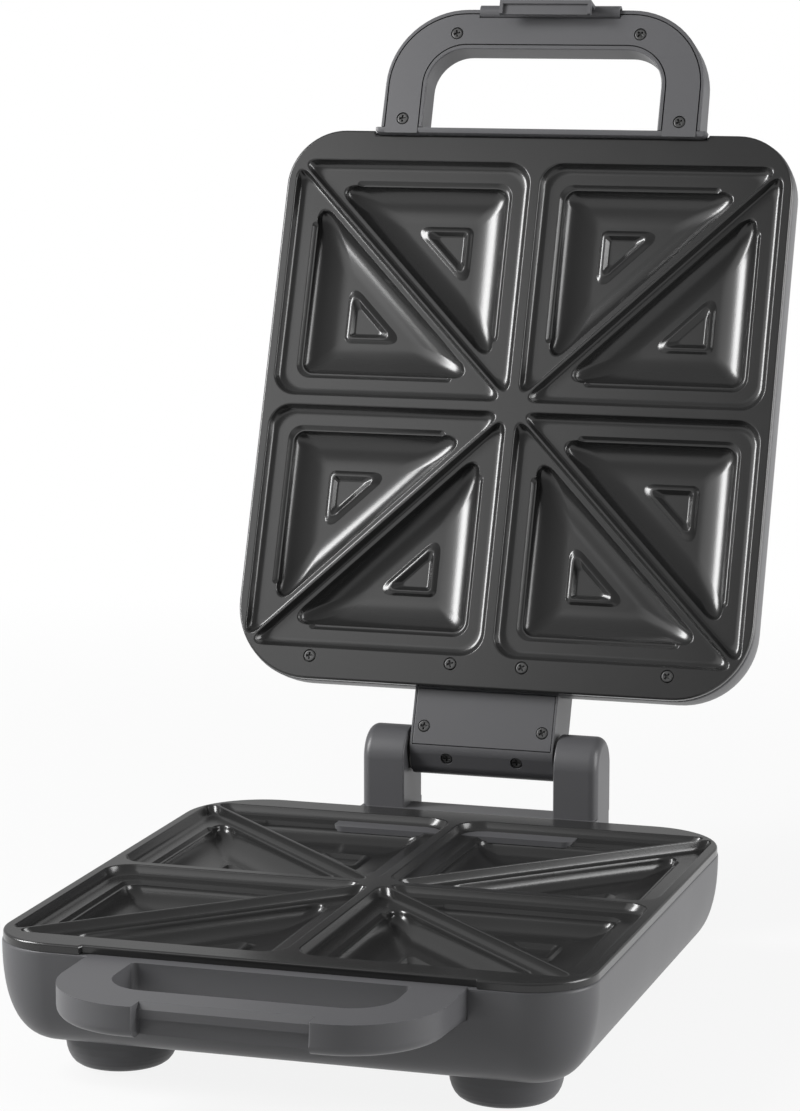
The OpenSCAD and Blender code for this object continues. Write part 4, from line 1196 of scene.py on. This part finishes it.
plate_screw = cross_screw(3.2, 1.6)
screw_set(
    plate_screw,
    "upper_plate_screws",
    [(x, SCREW_ROW_Y, RIM_GAP + 1.5, 0.3 * i) for i, x in enumerate(PLATE_SCREW_XS)],
    "lid_plate_screws",
)
screw_set(
    plate_screw,
    "arm_screws",
    [(side * ARM_SCREW_X, ARM_SCREW_Y, ARM_FACE + 1.4, 0.2 + side * 0.3) for side in (-1, 1)],
    "arm_cover_screws",
)
screw_set(
    plate_screw,
    "handle_cover_screws",
    [(x, y, TOP_FACE_Z + 1.6, 0.25 * i) for i, (x, y) in enumerate(COVER_SCREWS)],
    "lid_handle_screws",
)
remove(plate_screw)
barrel_set = [on_barrel(cross_screw(3.1, 1.8), side, BARREL_SUNK) for side in (-1, 1)]
finish(joined(barrel_set), "barrel_cross_screws", "lid", black_screw, 35, ["barrel_screws"])


# ---------------------------------------------------------------- carried-over pieces

carried = {
    "front_foot_left": foot_plastic,
    "front_foot_right": foot_plastic,
    "rear_foot_left": foot_plastic,
    "rear_foot_right": foot_plastic,
    "foot_pads": rubber,
    "cord_bush": rubber,
    "hinge_shaft": ground_pin,
    "latch_pin": ground_pin,
    "bush_left": bush_resin,
    "bush_right": bush_resin,
    "power_lens": red_lens,
    "ready_lens": green_lens,
    "neon_lamps": lamp_glass,
    "terminal_block": ceramic,
    "internal_lead": sleeve,
    "base_heating_element": element_tube,
    "lid_heating_element": element_tube,
    "base_thermostat": ceramic,
    "lid_thermostat": ceramic,
    "base_thermal_fuse": ceramic,
    "lid_thermal_fuse": ceramic,
    "base_element_clamps": bright_sheet,
    "lid_element_clamps": bright_sheet,
    "base_reflector": bright_sheet,
    "lid_reflector": bright_sheet,
    "base_plate_screws": black_screw,
    "base_handle_screws": black_screw,
    "post_screws": black_screw,
    "foot_screws": black_screw,
}
for node_name, material in carried.items():
    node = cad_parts[node_name]
    node.data.materials.clear()
    node.data.materials.append(material)


# ---------------------------------------------------------------- floor, light, camera


def pale_floor():
    """Matt white studio sheet that keeps a soft shadow and runs out to white."""
    m = new_material("white_studio_sheet")
    rays = add_node(m, "ShaderNodeLightPath")
    direct = add_node(
        m,
        "ShaderNodeMath",
        {"operation": "MAXIMUM"},
        {0: rays.outputs["Is Camera Ray"], 1: rays.outputs["Is Glossy Ray"]},
    )
    seen = add_node(
        m,
        "ShaderNodeMath",
        {"operation": "MAXIMUM"},
        {0: direct.outputs[0], 1: rays.outputs["Is Transmission Ray"]},
    )
    lit = add_node(m, "ShaderNodeBsdfDiffuse", {"Color": colour("#c4c4c4")})
    white = add_node(m, "ShaderNodeEmission", {"Color": (1, 1, 1, 1), "Strength": 1.0})
    # The sheet's own white takes over from the lamps' light away from the object, so it has no far edge
    place = add_node(m, "ShaderNodeTexCoord").outputs["Object"]
    away = add_node(m, "ShaderNodeVectorMath", {"operation": "LENGTH"}, {0: place})
    white_share = add_node(
        m,
        "ShaderNodeMapRange",
        {"From Min": 0.4, "From Max": 1.2, "To Min": 0.88, "To Max": 1.0},
        {"Value": away.outputs["Value"]},
    )
    share = add_node(
        m, "ShaderNodeMath", {"operation": "MULTIPLY"}, {0: seen.outputs[0], 1: white_share.outputs[0]}
    )
    mixed = add_node(
        m, "ShaderNodeMixShader", {}, {0: share.outputs[0], 1: lit.outputs[0], 2: white.outputs[0]}
    )
    add_node(m, "ShaderNodeOutputMaterial", {}, {"Surface": mixed.outputs[0]})
    return m


def studio_world():
    """Surround: white to the camera and through lenses, softer in reflections, softest as light."""
    world = bpy.data.worlds.new("studio_surround")
    world.use_nodes = True
    world.node_tree.nodes.clear()
    rays = add_node(world, "ShaderNodeLightPath")
    direct = add_node(
        world,
        "ShaderNodeMath",
        {"operation": "MAXIMUM"},
        {0: rays.outputs["Is Camera Ray"], 1: rays.outputs["Is Transmission Ray"]},
    )
    reflected = add_node(
        world, "ShaderNodeMath", {"operation": "MULTIPLY", 1: 0.3}, {0: rays.outputs["Is Glossy Ray"]}
    )
    seen = add_node(
        world, "ShaderNodeMath", {"operation": "MAXIMUM"}, {0: direct.outputs[0], 1: reflected.outputs[0]}
    )
    strength = add_node(
        world, "ShaderNodeMapRange", {"To Min": 0.2, "To Max": 1.0}, {"Value": seen.outputs[0]}
    )
    light = add_node(
        world, "ShaderNodeBackground", {"Color": (1, 1, 1, 1)}, {"Strength": strength.outputs[0]}
    )
    add_node(world, "ShaderNodeOutputWorld", {}, {"Surface": light.outputs[0]})
    return world


def soft_box(name, place, size, watts):
    """Rectangular studio lamp aimed at the object's middle, in metres."""
    lamp = bpy.data.lights.new(name, "AREA")
    lamp.shape = "RECTANGLE"
    lamp.size, lamp.size_y = size
    lamp.energy = watts
    holder = bpy.data.objects.new(name, lamp)
    bpy.context.scene.collection.objects.link(holder)
    holder.location = place
    aim = [t - p for t, p in zip(LIT_MIDDLE, place)]
    flat = math.hypot(aim[0], aim[1])
    holder.rotation_euler = (math.atan2(flat, -aim[2]), 0, math.atan2(aim[1], aim[0]) - math.pi / 2)


def photo_camera():
    """Camera of the photo, from the fit to its corners."""
    data = bpy.data.cameras.new("photo_camera")
    data.sensor_width = 36
    data.sensor_fit = "AUTO"
    data.lens = 119.5
    data.clip_start = 0.05
    camera = bpy.data.objects.new("photo_camera", data)
    bpy.context.scene.collection.objects.link(camera)
    camera.location = [c / 1000 for c in (CAMERA_X, CAMERA_Y - MIDDLE_Y, CAMERA_Z + RISE)]
    camera.rotation_euler = (math.radians(90 - CAMERA_DIP), 0, math.radians(CAMERA_TURN))
    return camera


LIT_MIDDLE = (0, 0, 0.22)
CAMERA_X = 537.1
CAMERA_Y = -1684.0
CAMERA_Z = 448.7
CAMERA_DIP = 9.19
CAMERA_TURN = 17.35

clear_selection()
bpy.ops.mesh.primitive_plane_add(size=30, location=(0, 0, 0))
floor = bpy.context.object
floor.name = "studio_floor"
floor.data.materials.append(pale_floor())

bpy.context.scene.world = studio_world()
soft_box("left_soft_box", (-0.98, -0.42, 0.78), (0.38, 0.85), 26)
soft_box("right_soft_box", (1.6, 0.15, 0.7), (0.9, 1.3), 33)
soft_box("front_top_soft_box", (-0.95, -1.4, 1.33), (1.0, 0.8), 4.0)
bpy.context.scene.camera = photo_camera()
bpy.context.scene.view_settings.view_transform = "Standard"
